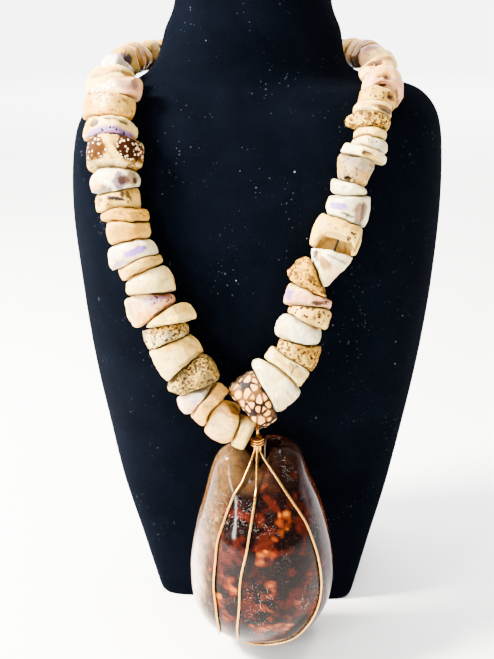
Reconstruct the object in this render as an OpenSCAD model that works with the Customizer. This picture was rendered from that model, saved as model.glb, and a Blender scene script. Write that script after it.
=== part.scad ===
// Shell bead necklace with a wire-caged cowrie pendant, on a velvet neck bust.
// Millimetres. +Z is up, the front faces -Y, and the origin is the centre of the bust's flat foot.

/* [Bust] */
// Height of the bust
bust_h = 335; // [320:1:360]
// Width across the shoulders
shoulder_w = 180; // [170:1:195]
// Width of the foot
foot_w = 104; // [90:1:120]
// Width of the neck
neck_w = 72; // [62:1:78]
// Depth of the chest, front to back
chest_d = 116; // [108:1:120]
// Depth of the foot, front to back
foot_d = 80; // [70:1:88]

/* [String] */
// Width of a bead across the string
bead_w = 25; // [22:0.5:25.5]
// Length of a bead along the string
bead_l = 11; // [10:0.25:11.5]
// Length of a plain bead behind the neck
plain_l = 10; // [8:0.5:12]
// Diameter of the hole through a bead
bore_d = 2.6; // [2.2:0.1:3.2]
// Gap between one bead and the next
bead_gap = 0.3; // [0.2:0.05:0.5]
// Diameter of the cord
cord_d = 1.1; // [0.8:0.1:1.3]
// Diameter of the clasp barrel
clasp_d = 6; // [5:0.25:8]
// Length of the clasp barrel
clasp_l = 14; // [10:0.5:18]

/* [Cowrie] */
// Length of the cowrie, end to end
cowrie_l = 105; // [95:1:110]
// Width of the cowrie
cowrie_w = 69; // [60:1:74]
// Thickness of the cowrie, back to base
cowrie_t = 49; // [42:1:52]
// Width of the slit between its lips
slit_w = 3; // [2:0.25:3.75]
// Air between the cowrie and the table
floor_gap = 2; // [1.5:0.5:10]

/* [Wire] */
// Diameter of the gold wire
wire_d = 1.1; // [0.8:0.1:1.3]
// Inner radius of the bail's loop
bail_r = 2.1; // [1.6:0.1:2.6]
// Drop from the cord to the top of the cowrie
bail_drop = 11; // [10:0.25:13]
// Turns in the coil that binds the wires
coil_turns = 3; // [2:1:4]
// Air between one wire and the next
wire_gap = 0.2; // [0.15:0.05:0.4]

/* [Hidden] */
bead_sides = 12;
plain_sides = 10;
wire_sides = 6;
bust_sides = 32;
route_steps = 6;
clear = 0.35;

// The bail hangs on the cord here, and the pendant swings about this line, along X. Its place is
// a share of half the shoulders across and a share of the chest's depth forward.
bail_across = 0.039;
bail_forward = 0.672;
pivot = [bail_across * shoulder_w / 2, -bail_forward * chest_d, floor_gap + cowrie_l + bail_drop];
yoke_z = 0.83 * bust_h;

velvet = "#0d0e13";
gold = "#c9a25c";
cream = "#e9dcc0";
white = "#f1ece2";
peach = "#e6bd98";
tan = "#d6b788";
ochre = "#c98a4a";
lilac = "#cdbccb";
coral = "#b3a688";
speckle = "#d9a58a";
shell_brown = "#5a2a1c";

// Columns: height as a share of bust_h, the width that the row follows and its left and right
// shares, the depth that it follows and its front and back shares, and the squareness.
bust_rows = [
  [-0.010, foot_w, 0.475, 0.500, foot_d, 0.500, 0.480, 10.0],
  [0.100, foot_w, 0.580, 0.590, foot_d, 0.525, 0.500, 6.5],
  [0.200, shoulder_w, 0.395, 0.392, foot_d, 0.560, 0.530, 4.2],
  [0.290, shoulder_w, 0.428, 0.425, chest_d, 0.440, 0.385, 3.4],
  [0.360, shoulder_w, 0.450, 0.447, chest_d, 0.520, 0.395, 3.0],
  [0.430, shoulder_w, 0.470, 0.467, chest_d, 0.568, 0.405, 2.7],
  [0.510, shoulder_w, 0.488, 0.484, chest_d, 0.578, 0.412, 2.5],
  [0.610, shoulder_w, 0.502, 0.494, chest_d, 0.562, 0.412, 2.5],
  [0.690, shoulder_w, 0.496, 0.492, chest_d, 0.500, 0.395, 2.5],
  [0.740, shoulder_w, 0.472, 0.480, chest_d, 0.428, 0.370, 2.5],
  [0.768, shoulder_w, 0.414, 0.452, chest_d, 0.362, 0.345, 2.4],
  [0.784, shoulder_w, 0.356, 0.408, chest_d, 0.326, 0.328, 2.3],
  [0.793, shoulder_w, 0.320, 0.330, chest_d, 0.310, 0.319, 2.2],
  [0.806, shoulder_w, 0.286, 0.252, chest_d, 0.302, 0.310, 2.1],
  [0.826, shoulder_w, 0.262, 0.226, chest_d, 0.298, 0.302, 2.1],
  [0.860, neck_w, 0.610, 0.535, neck_w, 0.500, 0.472, 2.0],
  [0.900, neck_w, 0.540, 0.470, neck_w, 0.486, 0.472, 2.0],
  [0.985, neck_w, 0.515, 0.455, neck_w, 0.475, 0.470, 2.0],
  [0.997, neck_w, 0.500, 0.440, neck_w, 0.460, 0.455, 2.0],
  [1.000, neck_w, 0.465, 0.405, neck_w, 0.425, 0.420, 2.0]
];

// The string's route, chosen by hand: across as a share of half the shoulders, forward as a
// share of the chest's depth, and the rise from the bail (0) to the neck (1).
route_rows = [
  [0.000, -0.425, 0.960], [-0.300, -0.395, 0.965], [-0.545, -0.285, 0.975], [-0.655, -0.147, 0.972],
  [-0.705, 0.000, 0.968], [-0.716, 0.145, 0.944], [-0.712, 0.290, 0.895], [-0.700, 0.400, 0.835],
  [-0.676, 0.478, 0.750], [-0.656, 0.526, 0.663], [-0.611, 0.569, 0.569], [-0.556, 0.612, 0.475],
  [-0.478, 0.629, 0.375], [-0.411, 0.647, 0.269], [-0.311, 0.667, 0.169], [-0.150, 0.672, 0.053],
  [bail_across, bail_forward, 0.000], [0.094, 0.674, 0.063], [0.178, 0.672, 0.188], [0.244, 0.664, 0.288],
  [0.300, 0.647, 0.400], [0.389, 0.629, 0.500], [0.456, 0.586, 0.619], [0.511, 0.534, 0.738],
  [0.570, 0.464, 0.838], [0.610, 0.362, 0.902], [0.630, 0.222, 0.948], [0.612, 0.065, 0.972],
  [0.575, -0.086, 0.982], [0.490, -0.250, 0.980], [0.310, -0.385, 0.970], [0.000, -0.425, 0.960]
];
pivot_row = 16;

// One row for each bead, along the string from the left of the neck to the bail. Columns: name,
// length as a share of bead_l, lean of its far face across the string and nod towards the front
// in degrees, the reach of its outer, inner, front and back sides as shares of half of bead_w,
// its form and its colour.
left_beads = [
  ["l00", 0.75, 0, 0, 0.58, 0.58, 0.62, 0.58, "disc", peach],
  ["l01", 0.85, 10, -8, 0.64, 0.62, 0.66, 0.60, "cup_prev", tan],
  ["l02", 1.05, 20, -16, 0.62, 0.58, 0.66, 0.60, "pebble", ochre],
  ["l03", 0.91, 18, -22, 0.78, 0.46, 0.66, 0.54, "disc", white],
  ["l04", 1.07, 8, -24, 1.19, 0.85, 0.78, 0.48, "cup_next", cream],
  ["l05", 0.68, 22, -20, 0.70, 1.26, 0.82, 0.52, "disc", lilac],
  ["l06", 1.02, 18, -14, 1.05, 1.03, 0.80, 0.56, "disc", tan],
  ["l07", 0.90, 15, -6, 1.00, 1.02, 0.88, 0.60, "dome", cream],
  ["l08", 1.32, -1, 8, 0.93, 1.13, 0.92, 0.68, "barrel", ochre],
  ["l09", 0.74, 4, -8, 0.90, 0.90, 0.84, 0.72, "dome", white],
  ["l10", 0.83, 8, 4, 0.89, 0.69, 0.80, 0.72, "barrel", cream],
  ["l11", 0.47, 13, 3, 0.78, 0.92, 0.76, 0.70, "disc", tan],
  ["l12", 0.77, 4, -4, 0.65, 0.81, 0.76, 0.72, "barrel", peach],
  ["l13", 0.85, -2, 2, 0.90, 0.89, 0.80, 0.72, "dome", lilac],
  ["l14", 0.51, -5, 9, 0.74, 0.91, 0.74, 0.72, "disc", peach],
  ["l15", 0.91, 12, 16, 0.69, 1.01, 0.86, 0.72, "dome", white],
  ["l16", 0.93, -22, 2, 1.06, 0.77, 0.82, 0.72, "pebble", lilac],
  ["l17", 0.46, 4, 13, 0.46, 1.36, 0.84, 0.72, "dome", cream],
  ["l18", 0.74, 0, 7, 0.85, 0.81, 0.80, 0.74, "disc", coral],
  ["l19", 1.20, -8, 7, 0.88, 0.88, 0.86, 0.78, "barrel", cream],
  ["l20", 1.02, 11, 15, 0.93, 1.10, 0.86, 0.80, "pebble", coral],
  ["l21", 0.45, -13, 4, 1.05, 0.36, 0.78, 0.74, "pebble", lilac],
  ["l22", 0.65, -8, 11, 0.92, 0.73, 0.80, 0.76, "disc", peach],
  ["l23", 1.10, -14, 0, 1.08, 0.50, 0.74, 0.78, "pebble", peach],
  ["l24", 0.73, 12, 12, 0.89, 0.37, 0.80, 0.40, "barrel", cream]
];
// The same from the bail up to the right of the neck.
right_beads = [
  ["centre", 0.70, 43, -13, 0.32, 1.75, 0.88, 0.28, "barrel", speckle],
  ["r01", 1.47, 18, -14, 0.74, 1.40, 0.86, 0.80, "pebble", white],
  ["r02", 0.73, 15, -12, 0.82, 0.91, 0.82, 0.76, "disc", cream],
  ["r03", 0.70, -10, -15, 0.94, 0.66, 0.78, 0.76, "disc", tan],
  ["r04", 0.91, 9, -8, 0.77, 0.95, 0.84, 0.74, "pebble", white],
  ["r05", 0.56, -6, -19, 0.89, 0.63, 0.80, 0.72, "disc", cream],
  ["r06", 0.67, 1, -6, 0.74, 0.92, 0.76, 0.72, "disc", lilac],
  ["r07", 0.60, 33, 4, 0.46, 1.20, 0.84, 0.70, "pebble", tan],
  ["r08", 1.13, -4, -8, 0.51, 0.78, 0.88, 0.70, "cone", white],
  ["r09", 1.25, 6, -6, 0.75, 0.94, 0.94, 0.70, "cup_prev", cream],
  ["r10", 1.08, -15, 4, 0.71, 0.77, 0.86, 0.72, "barrel", lilac],
  ["r11", 0.38, 5, 1, 0.46, 0.80, 0.74, 0.70, "dome", white],
  ["r12", 1.06, -1, 6, 0.46, 0.81, 0.78, 0.72, "cone", coral],
  ["r13", 0.36, 0, 0, 0.83, 0.77, 0.80, 0.72, "disc", white],
  ["r14", 0.45, -8, 0, 0.76, 0.46, 0.74, 0.72, "pebble", white],
  ["r15", 0.36, -12, 4, 0.60, 0.48, 0.70, 0.70, "disc", tan],
  ["r16", 0.61, -11, 12, 0.60, 0.91, 0.78, 0.68, "pebble", tan],
  ["r17", 0.45, -12, 16, 0.48, 0.78, 0.78, 0.60, "disc", cream],
  ["r18", 0.64, -6, 18, 0.57, 0.75, 0.76, 0.56, "disc", tan],
  ["r19", 1.16, -18, 16, 0.77, 0.70, 0.76, 0.48, "cup_prev", peach],
  ["r20", 1.05, -16, 16, 0.46, 0.89, 0.72, 0.41, "cup_prev", ochre],
  ["r21", 1.00, -8, 10, 0.64, 0.46, 0.66, 0.43, "pebble", white],
  ["r22", 1.10, 0, 0, 0.46, 0.57, 0.62, 0.46, "dome", lilac],
  ["r23", 0.95, 0, 0, 0.56, 0.60, 0.62, 0.50, "disc", tan]
];
left_own = 4;
right_own = 18;
NAME = 0;
LENGTH = 1;
LEAN = 2;
NOD = 3;
OUTER = 4;
INNER = 5;
FRONT = 6;
BACK = 7;
FORM = 8;
COLOUR = 9;
upright = [0, 0];
bail_side = [26, 4];

own_beads = [
  for (i = [left_own:len(left_beads) - 1]) str("bead_", left_beads[i][NAME]),
  for (i = [0:right_own]) str("bead_", right_beads[i][NAME])
];

function mix(a, b, t) = a + (b - a) * t;
function unit(v) = v / norm(v);
function root(v, p) = sign(v) * pow(abs(v), p);
function column(rows, key, c) = lookup(key, [for (r = rows) [r[0], r[c]]]);

// One point of a smooth curve between b and c, with a and d as its neighbours.
function smooth(a, b, c, d, t) =
  0.5 * (2 * b + (c - a) * t + (2 * a - 5 * b + 4 * c - d) * t * t + (3 * b - a - 3 * c + d) * t * t * t);

// Smooth curve through the points, with a number of steps in each span.
function curve(p, steps, closed) = [
  for (i = [0:len(p) - 2], k = [0:steps - 1])
    smooth(
      i > 0 ? p[i - 1] : (closed ? p[len(p) - 2] : p[0]), p[i], p[i + 1],
      i + 2 < len(p) ? p[i + 2] : (closed ? p[1] : p[len(p) - 1]), k / steps
    ),
  p[len(p) - 1]
];
function running(p) = [
  for (i = 0, s = 0; i < len(p); s = s + (i < len(p) - 1 ? norm(p[i + 1] - p[i]) : 0), i = i + 1) s
];

// Triangles of a closed net of rings, with flat ends.
function skin(rings, sides) = [
  for (j = [0:rings - 2], k = [0:sides - 1])
    let (a = j * sides + k, b = j * sides + (k + 1) % sides)
    each [[a, b, b + sides], [a, b + sides, a + sides]]
];
function ends(rings, sides) = [
  [for (k = [0:sides - 1]) sides - 1 - k],
  [for (k = [0:sides - 1]) (rings - 1) * sides + k]
];

// A round wire along a path, its frame carried from ring to ring.
function frames(p) = [
  for (
    i = 0, t = unit(p[1] - p[0]), n = unit(cross(t, abs(t[2]) < 0.8 ? [0, 0, 1] : [1, 0, 0]));
    i < len(p);
    i = i + 1,
    t = i < len(p) ? unit(p[min(i + 1, len(p) - 1)] - p[i - 1]) : t,
    n = unit(n - t * (n * t))
  ) [t, n, cross(t, n)]
];
module tube(path, d, sides) {
  f = frames(path);
  points = [
    for (i = [0:len(path) - 1], k = [0:sides - 1])
      path[i] + d / 2 * (f[i][1] * cos(360 * k / sides) - f[i][2] * sin(360 * k / sides))
  ];
  polyhedron(points, concat(skin(len(path), sides), ends(len(path), sides)), convexity = 6);
}

// The bust is a stack of rounded sections.
function bust_point(row, turn) =
  let (s = sin(turn), c = cos(turn), p = 2 / row[7])
  [
    row[1] * (s > 0 ? row[3] : row[2]) * root(s, p),
    -row[4] * (c > 0 ? row[5] : row[6]) * root(c, p),
    row[0] * bust_h
  ];
module bust() {
  points = [for (r = bust_rows, k = [0:bust_sides - 1]) bust_point(r, -360 * k / bust_sides)];
  color(velvet)
    difference() {
      polyhedron(
        points, concat(skin(len(bust_rows), bust_sides), ends(len(bust_rows), bust_sides)), convexity = 4
      );
      translate([-shoulder_w, -chest_d, -bust_h / 10])
        cube([2 * shoulder_w, 2 * chest_d, bust_h / 10]);
    }
}

// The string's route, its length so far at each point, and places along it.
route = curve(
  [for (r = route_rows) [r[0] * shoulder_w / 2, -r[1] * chest_d, mix(pivot[2], yoke_z, r[2])]],
  route_steps, true
);
route_run = running(route);
route_l = route_run[len(route) - 1];
route_x = [for (i = [0:len(route) - 1]) [route_run[i], route[i][0]]];
route_y = [for (i = [0:len(route) - 1]) [route_run[i], route[i][1]]];
route_z = [for (i = [0:len(route) - 1]) [route_run[i], route[i][2]]];
function at(s) = [lookup(s, route_x), lookup(s, route_y), lookup(s, route_z)];
function heading(s) = unit(at(s + 1) - at(s - 1));
// Away from the bust: forward on the chest, and upwards on the shoulders and round the neck.
// Columns: height as a share of bust_h, and the upward part as a share of shoulder_w.
away_rows = [[0.56, 0.02], [0.67, 0.09], [0.72, 0.16], [0.76, 0.24], [0.79, 0.34], [0.82, 0.44]];
away_across = 0.45;
function away(p) = unit([away_across * p[0], p[1], shoulder_w * lookup(p[2] / bust_h, away_rows)]);
pivot_s = route_run[pivot_row * route_steps];

// The cuts between beads: each is a station and the lean of the plane there.
left_end = pivot_s - wire_d / 2 - 3 * clear;
right_start = pivot_s + 2 * (bail_r + wire_d) + clear;
function total(rows, from, to) = from > to ? 0 : rows[from][LENGTH] + total(rows, from + 1, to);
function left_cut(i) = left_end - bead_l * total(left_beads, i, len(left_beads) - 1);
function right_cut(i) = right_start + bead_l * total(right_beads, 0, i - 1);
left_plain = left_cut(0) - clasp_l / 2;
right_plain = route_l - clasp_l / 2 - right_cut(len(right_beads));
left_plain_n = floor(left_plain / plain_l);
right_plain_n = floor(right_plain / plain_l);

// How a bead's wall goes from its near face to its far face, as shares of reach and length.
function wall(form) =
  form == "disc" ? [[0, 0], [0.78, 0.02], [0.97, 0.22], [1, 0.5], [0.97, 0.8], [0.8, 0.98], [0, 1]]
  : form == "barrel" ? [[0, 0], [0.84, 0.02], [0.97, 0.12], [1, 0.5], [0.96, 0.9], [0.84, 0.99], [0, 1]]
  : form == "dome" ? [[0, 0], [0.46, 0.04], [0.8, 0.24], [0.98, 0.58], [1, 0.82], [0.88, 0.98], [0, 1]]
  : form == "cone" ? [[0, 0], [0.62, 0.02], [0.78, 0.2], [0.9, 0.5], [1, 0.78], [0.84, 0.98], [0, 1]]
  : form == "cup_prev" ? [[0, 0.46], [0.6, 0.3], [0.76, 0], [0.94, 0.06], [1, 0.5], [0.88, 0.92], [0, 1]]
  : form == "cup_next" ? [[0, 0], [0.88, 0.08], [1, 0.5], [0.94, 0.94], [0.76, 1], [0.6, 0.7], [0, 0.54]]
  : [[0, 0], [0.54, 0.05], [0.86, 0.2], [1, 0.5], [0.88, 0.8], [0.56, 0.96], [0, 1]];

// Reach of a bead's rim at an angle: outer and inner sides, front and back, softly squared.
rim_n = 2.4;
rim_wave = 0.025;
function rim(row, turn, seed) =
  let (
    c = cos(turn), s = sin(turn),
    across = (c > 0 ? row[OUTER] : row[INNER]), deep = (s > 0 ? row[FRONT] : row[BACK]),
    wave = 1 - rim_wave * (1 + cos(3 * turn + 97 * seed))
  )
  wave * bead_w / 2 * pow(pow(abs(c) / across, rim_n) + pow(abs(s) / deep, rim_n), -1 / rim_n);

// The direction that a bead's face looks in, from its station, its lean and its nod.
function face(s, tilt) =
  let (t = heading(s), out = away(at(s)), n = unit(out - t * (out * t)), b = cross(t, n))
  unit(t * cos(tilt[0]) * cos(tilt[1]) + b * sin(tilt[0]) + n * sin(tilt[1]));
function tilt(rows, i, first) = i < 0 ? first : [rows[i][LEAN], rows[i][NOD]];

// A bored bead between the faces at two stations.
module bored(row, sides, s0, s1, tilt0, tilt1, seed) {
  p0 = at(s0);
  p1 = at(s1);
  mid = (p0 + p1) / 2;
  cord = unit(p1 - p0);
  face0 = face(s0, tilt0);
  face1 = face(s1, tilt1);
  axis = unit(face0 + face1);
  out = away(mid);
  front = unit(out - axis * (out * axis));
  outer = cross(axis, front);
  form = wall(row[FORM]);
  points = [
    for (w = form, k = [0:sides - 1])
      let (
        turn = 360 * (k + 0.5) / sides,
        reach = mix(bore_d / 2, rim(row, turn, seed), w[0]),
        along = unit(mix(cord, axis, w[0])),
        q = mid + reach * (outer * cos(turn) + front * sin(turn)),
        near = ((p0 - q) * face0 + bead_gap / 2) / (along * face0),
        far = ((p1 - q) * face1 - bead_gap / 2) / (along * face1)
      )
      q + along * mix(near, far, w[1])
  ];
  n = len(form);
  bore = [
    for (k = [0:sides - 1])
      let (a = (n - 1) * sides + k, b = (n - 1) * sides + (k + 1) % sides, c = k, d = (k + 1) % sides)
      each [[a, b, d], [a, d, c]]
  ];
  color(row[COLOUR]) polyhedron(points, concat(skin(n, sides), bore), convexity = 6);
}
module left_bead(i) {
  bored(
    left_beads[i], bead_sides, left_cut(i), left_cut(i + 1),
    tilt(left_beads, i - 1, upright), tilt(left_beads, i, upright), i
  );
}
module right_bead(i) {
  bored(
    right_beads[i], bead_sides, right_cut(i), right_cut(i + 1),
    tilt(right_beads, i - 1, bail_side), tilt(right_beads, i, upright), i + len(left_beads)
  );
}
module plain_beads(count, from, to) {
  plain = ["plain", 1, 0, 0, 0.56, 0.56, 0.62, 0.56, "disc", cream];
  for (i = [0:count - 1])
    bored(
      plain, plain_sides, mix(from, to, i / count), mix(from, to, (i + 1) / count),
      upright, upright, i
    );
}
module neck_beads() {
  for (i = [0:left_own - 1]) left_bead(i);
  for (i = [right_own + 1:len(right_beads) - 1]) right_bead(i);
  plain_beads(left_plain_n, clasp_l / 2, left_cut(0));
  plain_beads(right_plain_n, right_cut(len(right_beads)), route_l - clasp_l / 2);
}

// The cord runs from face to face of the beads, and its two ends meet inside the clasp.
module thread() {
  stations = concat(
    [clear, clasp_l / 2],
    [for (i = [1:left_plain_n - 1]) mix(clasp_l / 2, left_cut(0), i / left_plain_n)],
    [for (i = [0:len(left_beads)]) left_cut(i)],
    [pivot_s],
    [for (i = [0:len(right_beads)]) right_cut(i)],
    [for (i = [1:right_plain_n - 1])
      mix(right_cut(len(right_beads)), route_l - clasp_l / 2, i / right_plain_n)],
    [route_l - clasp_l / 2, route_l - clear]
  );
  color("black") tube([for (s = stations) at(s)], cord_d, wire_sides);
}
module clasp() {
  color(gold)
    translate(at(0))
      rotate([0, 90, 0])
        difference() {
          cylinder(h = clasp_l - 2 * clear, d = clasp_d, center = true, $fn = 48);
          cylinder(h = clasp_l, d = bore_d, center = true, $fn = 24);
        }
}

// The cowrie, seen from its back. Columns: how far down it, as a share of cowrie_l, its left
// and right reach as shares of half of cowrie_w, the rise of its back and the depth of its base
// as shares of cowrie_t, the turn of the section in degrees, and the hollow's share of the section.
cowrie_rows = [
  [0.000, 0.36, 0.38, 0.13, 0.17, 17, 0.66],
  [0.018, 0.50, 0.46, 0.18, 0.21, 16, 0.66],
  [0.050, 0.61, 0.53, 0.25, 0.245, 14, 0.66],
  [0.130, 0.70, 0.61, 0.37, 0.27, 10, 0.74],
  [0.260, 0.80, 0.78, 0.52, 0.29, 5, 0.84],
  [0.380, 0.90, 0.89, 0.62, 0.30, 2, 0.88],
  [0.540, 0.985, 0.985, 0.69, 0.30, 0, 0.90],
  [0.660, 1.00, 1.00, 0.70, 0.30, 0, 0.90],
  [0.760, 0.97, 0.95, 0.655, 0.295, 0, 0.88],
  [0.860, 0.85, 0.82, 0.53, 0.275, 0, 0.82],
  [0.930, 0.65, 0.66, 0.38, 0.23, 0, 0.62],
  [0.975, 0.40, 0.44, 0.23, 0.16, 0, 0.40],
  [1.000, 0.14, 0.15, 0.09, 0.07, 0, 0.40]
];
// Where a section's points lie, as shares of the way from its back to the edge of the slit.
cowrie_sweep = [0, 0.05, 0.11, 0.19, 0.28, 0.39, 0.50, 0.62, 0.745, 0.87, 1];
cowrie_back_n = 2.1;
cowrie_base_n = 2.8;
cleft = 0.085;
cleft_end = 0.16;
cleft_turn = -18;
cowrie_axis = [2.2, 7.2, -bail_drop];
// How wide the slit is, as a multiple of slit_w, down the cowrie: it flares at its top end.
slit_rows = [[0, 2.9], [0.05, 2.4], [0.16, 2.0], [0.34, 1]];

// A point of the cowrie's skin, or of its hollow: down is 0 at the top and 1 at the bottom,
// and turn is 0 on its back, 90 at its right edge and 180 on its base.
function cowrie_point(down, turn, share) =
  let (
    s = sin(turn), c = cos(turn), n = c > 0 ? cowrie_back_n : cowrie_base_n,
    x = share * cowrie_w / 2 * column(cowrie_rows, down, s > 0 ? 2 : 1) * root(s, 2 / n),
    y = -share * cowrie_t * column(cowrie_rows, down, c > 0 ? 3 : 4) * root(c, 2 / n),
    w = column(cowrie_rows, down, 5),
    dip = cleft * pow(max(cos(turn - cleft_turn), 0), 12) * max(0, 1 - down / cleft_end)
  )
  [x * cos(w) - y * sin(w), x * sin(w) + y * cos(w), -cowrie_l * (down + dip)];

// The turn at which a section meets the edge of the slit.
function slit_turn(down, share) =
  let (
    reach = share * cowrie_w / 2 * column(cowrie_rows, down, 1),
    half = slit_w / 2 * lookup(down, slit_rows)
  )
  180 - asin(min(0.9, pow(min(1, half / reach), cowrie_base_n / 2)));

module cowrie_shell() {
  sweep = concat([for (i = [len(cowrie_sweep) - 1:-1:1]) -cowrie_sweep[i]], cowrie_sweep);
  sides = 2 * len(sweep);
  points = [
    for (r = cowrie_rows)
      each concat(
        [for (t = sweep) cowrie_point(r[0], t * slit_turn(r[0], 1), 1)],
        [for (i = [len(sweep) - 1:-1:0]) cowrie_point(r[0], sweep[i] * slit_turn(r[0], r[6]), r[6])]
      )
  ];
  last = (len(cowrie_rows) - 1) * sides;
  caps = [
    for (k = [0:sides / 2 - 2])
      let (a = k, b = k + 1, c = sides - 2 - k, d = sides - 1 - k)
      each [[a, c, b], [a, d, c], [last + a, last + b, last + c], [last + a, last + c, last + d]]
  ];
  color(shell_brown)
    translate(pivot + cowrie_axis)
      polyhedron(points, concat(skin(len(cowrie_rows), sides), caps), convexity = 8);
}

// A wire's centre above the cowrie's skin, in the pendant's own place.
function over_cowrie(down, turn) =
  let (
    p = cowrie_point(down, turn, 1),
    u = cowrie_point(min(1, down + 0.01), turn, 1) - cowrie_point(max(0, down - 0.01), turn, 1),
    v = cowrie_point(down, turn + 1, 1) - cowrie_point(down, turn - 1, 1),
    n = unit(cross(u, v))
  )
  p + n * (wire_d / 2 + 1.1 * clear) + cowrie_axis;

// Where each wire runs over the cowrie, as how far down it and the turn: down its back, round
// its bottom end and up its base to the canal at its top.
left_run = [
  [0.09, -30], [0.205, -37], [0.34, -40], [0.45, -38], [0.575, -36], [0.69, -34], [0.81, -36],
  [0.90, -48], [0.93, -80], [0.93, -120], [0.86, -148], [0.70, -160], [0.50, -166], [0.30, -174], [0.15, -178.8]
];
middle_run = [
  [0.115, -12], [0.25, -12], [0.37, -12], [0.49, -14], [0.615, -14], [0.74, -16], [0.86, -20],
  [0.94, -36], [0.97, -80], [0.97, -140], [0.92, -168], [0.80, -178], [0.60, -180], [0.36, -180], [0.15, -180]
];
right_run = [
  [0.10, 12], [0.195, 28], [0.28, 40], [0.383, 48], [0.478, 52], [0.585, 53], [0.688, 50],
  [0.78, 44], [0.87, 34], [0.93, 8], [0.975, -40], [0.985, -130], [0.95, -190], [0.82, -196],
  [0.60, -194], [0.32, -186], [0.15, -181.2]
];
bundle_r = wire_d + wire_gap;
coil_r = bundle_r + wire_d + wire_gap;
bundle_top = -bail_r - 2 * wire_d;
bundle_bottom = wire_d - bail_drop;

// The strand at an angle in the bundle under the bail, seen from above.
function strand(angle, z) = [bundle_r * cos(angle), bundle_r * sin(angle), z];
// A short bend from a to c that starts out towards b.
function bend(a, b, c) = [for (t = [0:0.25:0.75]) (1 - t) * (1 - t) * a + 2 * t * (1 - t) * b + t * t * c];
module cage_wire(run, front_angle, back_angle) {
  over = [for (r = curve(run, 3, false)) over_cowrie(r[0], r[1])];
  first = strand(front_angle, bundle_bottom);
  last = strand(back_angle, bundle_bottom);
  up = bend(last, last - [0, 0, wire_d], over[len(over) - 1]);
  path = concat(
    [strand(front_angle, bundle_top - wire_d)], bend(first, first - [0, 0, 2 * wire_d], over[0]), over,
    [for (i = [len(up) - 1:-1:0]) up[i]], [strand(back_angle, bundle_top - wire_d)]
  );
  color(gold) translate(pivot) tube(path, wire_d, wire_sides);
}
module wire_left() cage_wire(left_run, 210, 150);
module wire_middle() cage_wire(middle_run, 270, 90);
module wire_right() cage_wire(right_run, 330, 30);

// The bail: a stem in the middle of the bundle, a loop round the cord, and a coil that binds it.
module bail() {
  loop_r = bail_r + wire_d / 2;
  coil_pitch = wire_d + wire_gap;
  stem = [[0, 0, bundle_bottom], [0, 0, bundle_top]];
  loop = [for (a = [250:-32:-70]) [0, loop_r * cos(a), loop_r * sin(a)]];
  coil = [
    for (a = [0:30:360 * coil_turns])
      [coil_r * sin(a + 20), coil_r * cos(a + 20), bundle_top - coil_pitch * a / 360]
  ];
  color(gold) translate(pivot) tube(concat(stem, loop, coil), wire_d, wire_sides);
}

bust();
for (i = [left_own:len(left_beads) - 1])
  left_bead(i);
for (i = [0:right_own])
  right_bead(i);
neck_beads();
thread();
clasp();
cowrie_shell();
wire_left();
wire_middle();
wire_right();
bail();
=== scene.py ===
import math

import bpy
import numpy as np
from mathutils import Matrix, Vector


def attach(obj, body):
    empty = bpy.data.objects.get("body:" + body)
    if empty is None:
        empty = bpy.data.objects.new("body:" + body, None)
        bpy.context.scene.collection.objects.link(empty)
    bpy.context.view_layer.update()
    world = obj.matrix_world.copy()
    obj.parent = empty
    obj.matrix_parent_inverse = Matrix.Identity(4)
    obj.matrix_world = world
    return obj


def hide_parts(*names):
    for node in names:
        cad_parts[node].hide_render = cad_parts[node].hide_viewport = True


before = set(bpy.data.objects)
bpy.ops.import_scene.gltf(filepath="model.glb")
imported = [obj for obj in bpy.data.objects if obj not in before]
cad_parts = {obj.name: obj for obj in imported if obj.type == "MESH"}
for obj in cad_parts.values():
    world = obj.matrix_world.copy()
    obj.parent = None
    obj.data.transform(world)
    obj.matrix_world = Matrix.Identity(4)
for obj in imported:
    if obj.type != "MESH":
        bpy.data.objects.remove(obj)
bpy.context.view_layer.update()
print("frame is in,", len(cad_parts), "nodes")
mm = 0.001  # in metres


# Camera, floor and light

studio = {
    "target": (-5.2, -3.0, 138.6),
    "distance": 500.0,
    "lookDown": 20.0,
    "lookRound": 3.0,
    "focalPixels": 960.0,
    "imageHeight": 659.0,
    "sensorWide": 36.0,
    "clip": (0.02, 30.0),
    "floorSize": 6.0,
    "floorTone": (0.97, 0.967, 0.962),
    "floorSmudge": (0.90, 0.89, 0.88),
    "skyTone": (1.0, 0.995, 0.985),
    "brightWay": (-0.35, 0.86, 0.32),
    # from and to on the way to the bright side, and the strength at each
    "skyRange": (-0.20, 0.80, 0.30, 6.6),
}
lamps = [
    # name, place and aim (m), width and height (m), watts, colour
    ("keyWindow", (-0.78, -0.20, 0.82), (0.0, 0.0, 0.14), (0.24, 0.24), 145.0, (1.0, 0.955, 0.87)),
    ("leftPanel", (-0.95, 0.10, 0.40), (0.0, 0.0, 0.14), (0.50, 0.50), 16.0, (1.0, 0.96, 0.92)),
    ("tallStrip", (-0.62, -0.80, 0.36), (0.0, 0.0, 0.14), (0.08, 0.42), 20.0, (1.0, 0.98, 0.95)),
    ("topStrip", (0.25, -0.20, 1.05), (0.0, 0.0, 0.14), (0.22, 0.22), 8.0, (1.0, 0.985, 0.96)),
    ("farFloorWash", (0.0, 2.3, 1.1), (0.0, 2.5, 0.0), (3.2, 1.4), 150.0, (1.0, 0.995, 0.985)),
]


def addObject(name, data):
    thing = bpy.data.objects.new(name, data)
    bpy.context.scene.collection.objects.link(thing)
    return thing


def aimAlong(thing, way):  # its own -Z looks the way
    thing.rotation_mode = "QUATERNION"
    thing.rotation_quaternion = way.to_track_quat("-Z", "Y")


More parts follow.
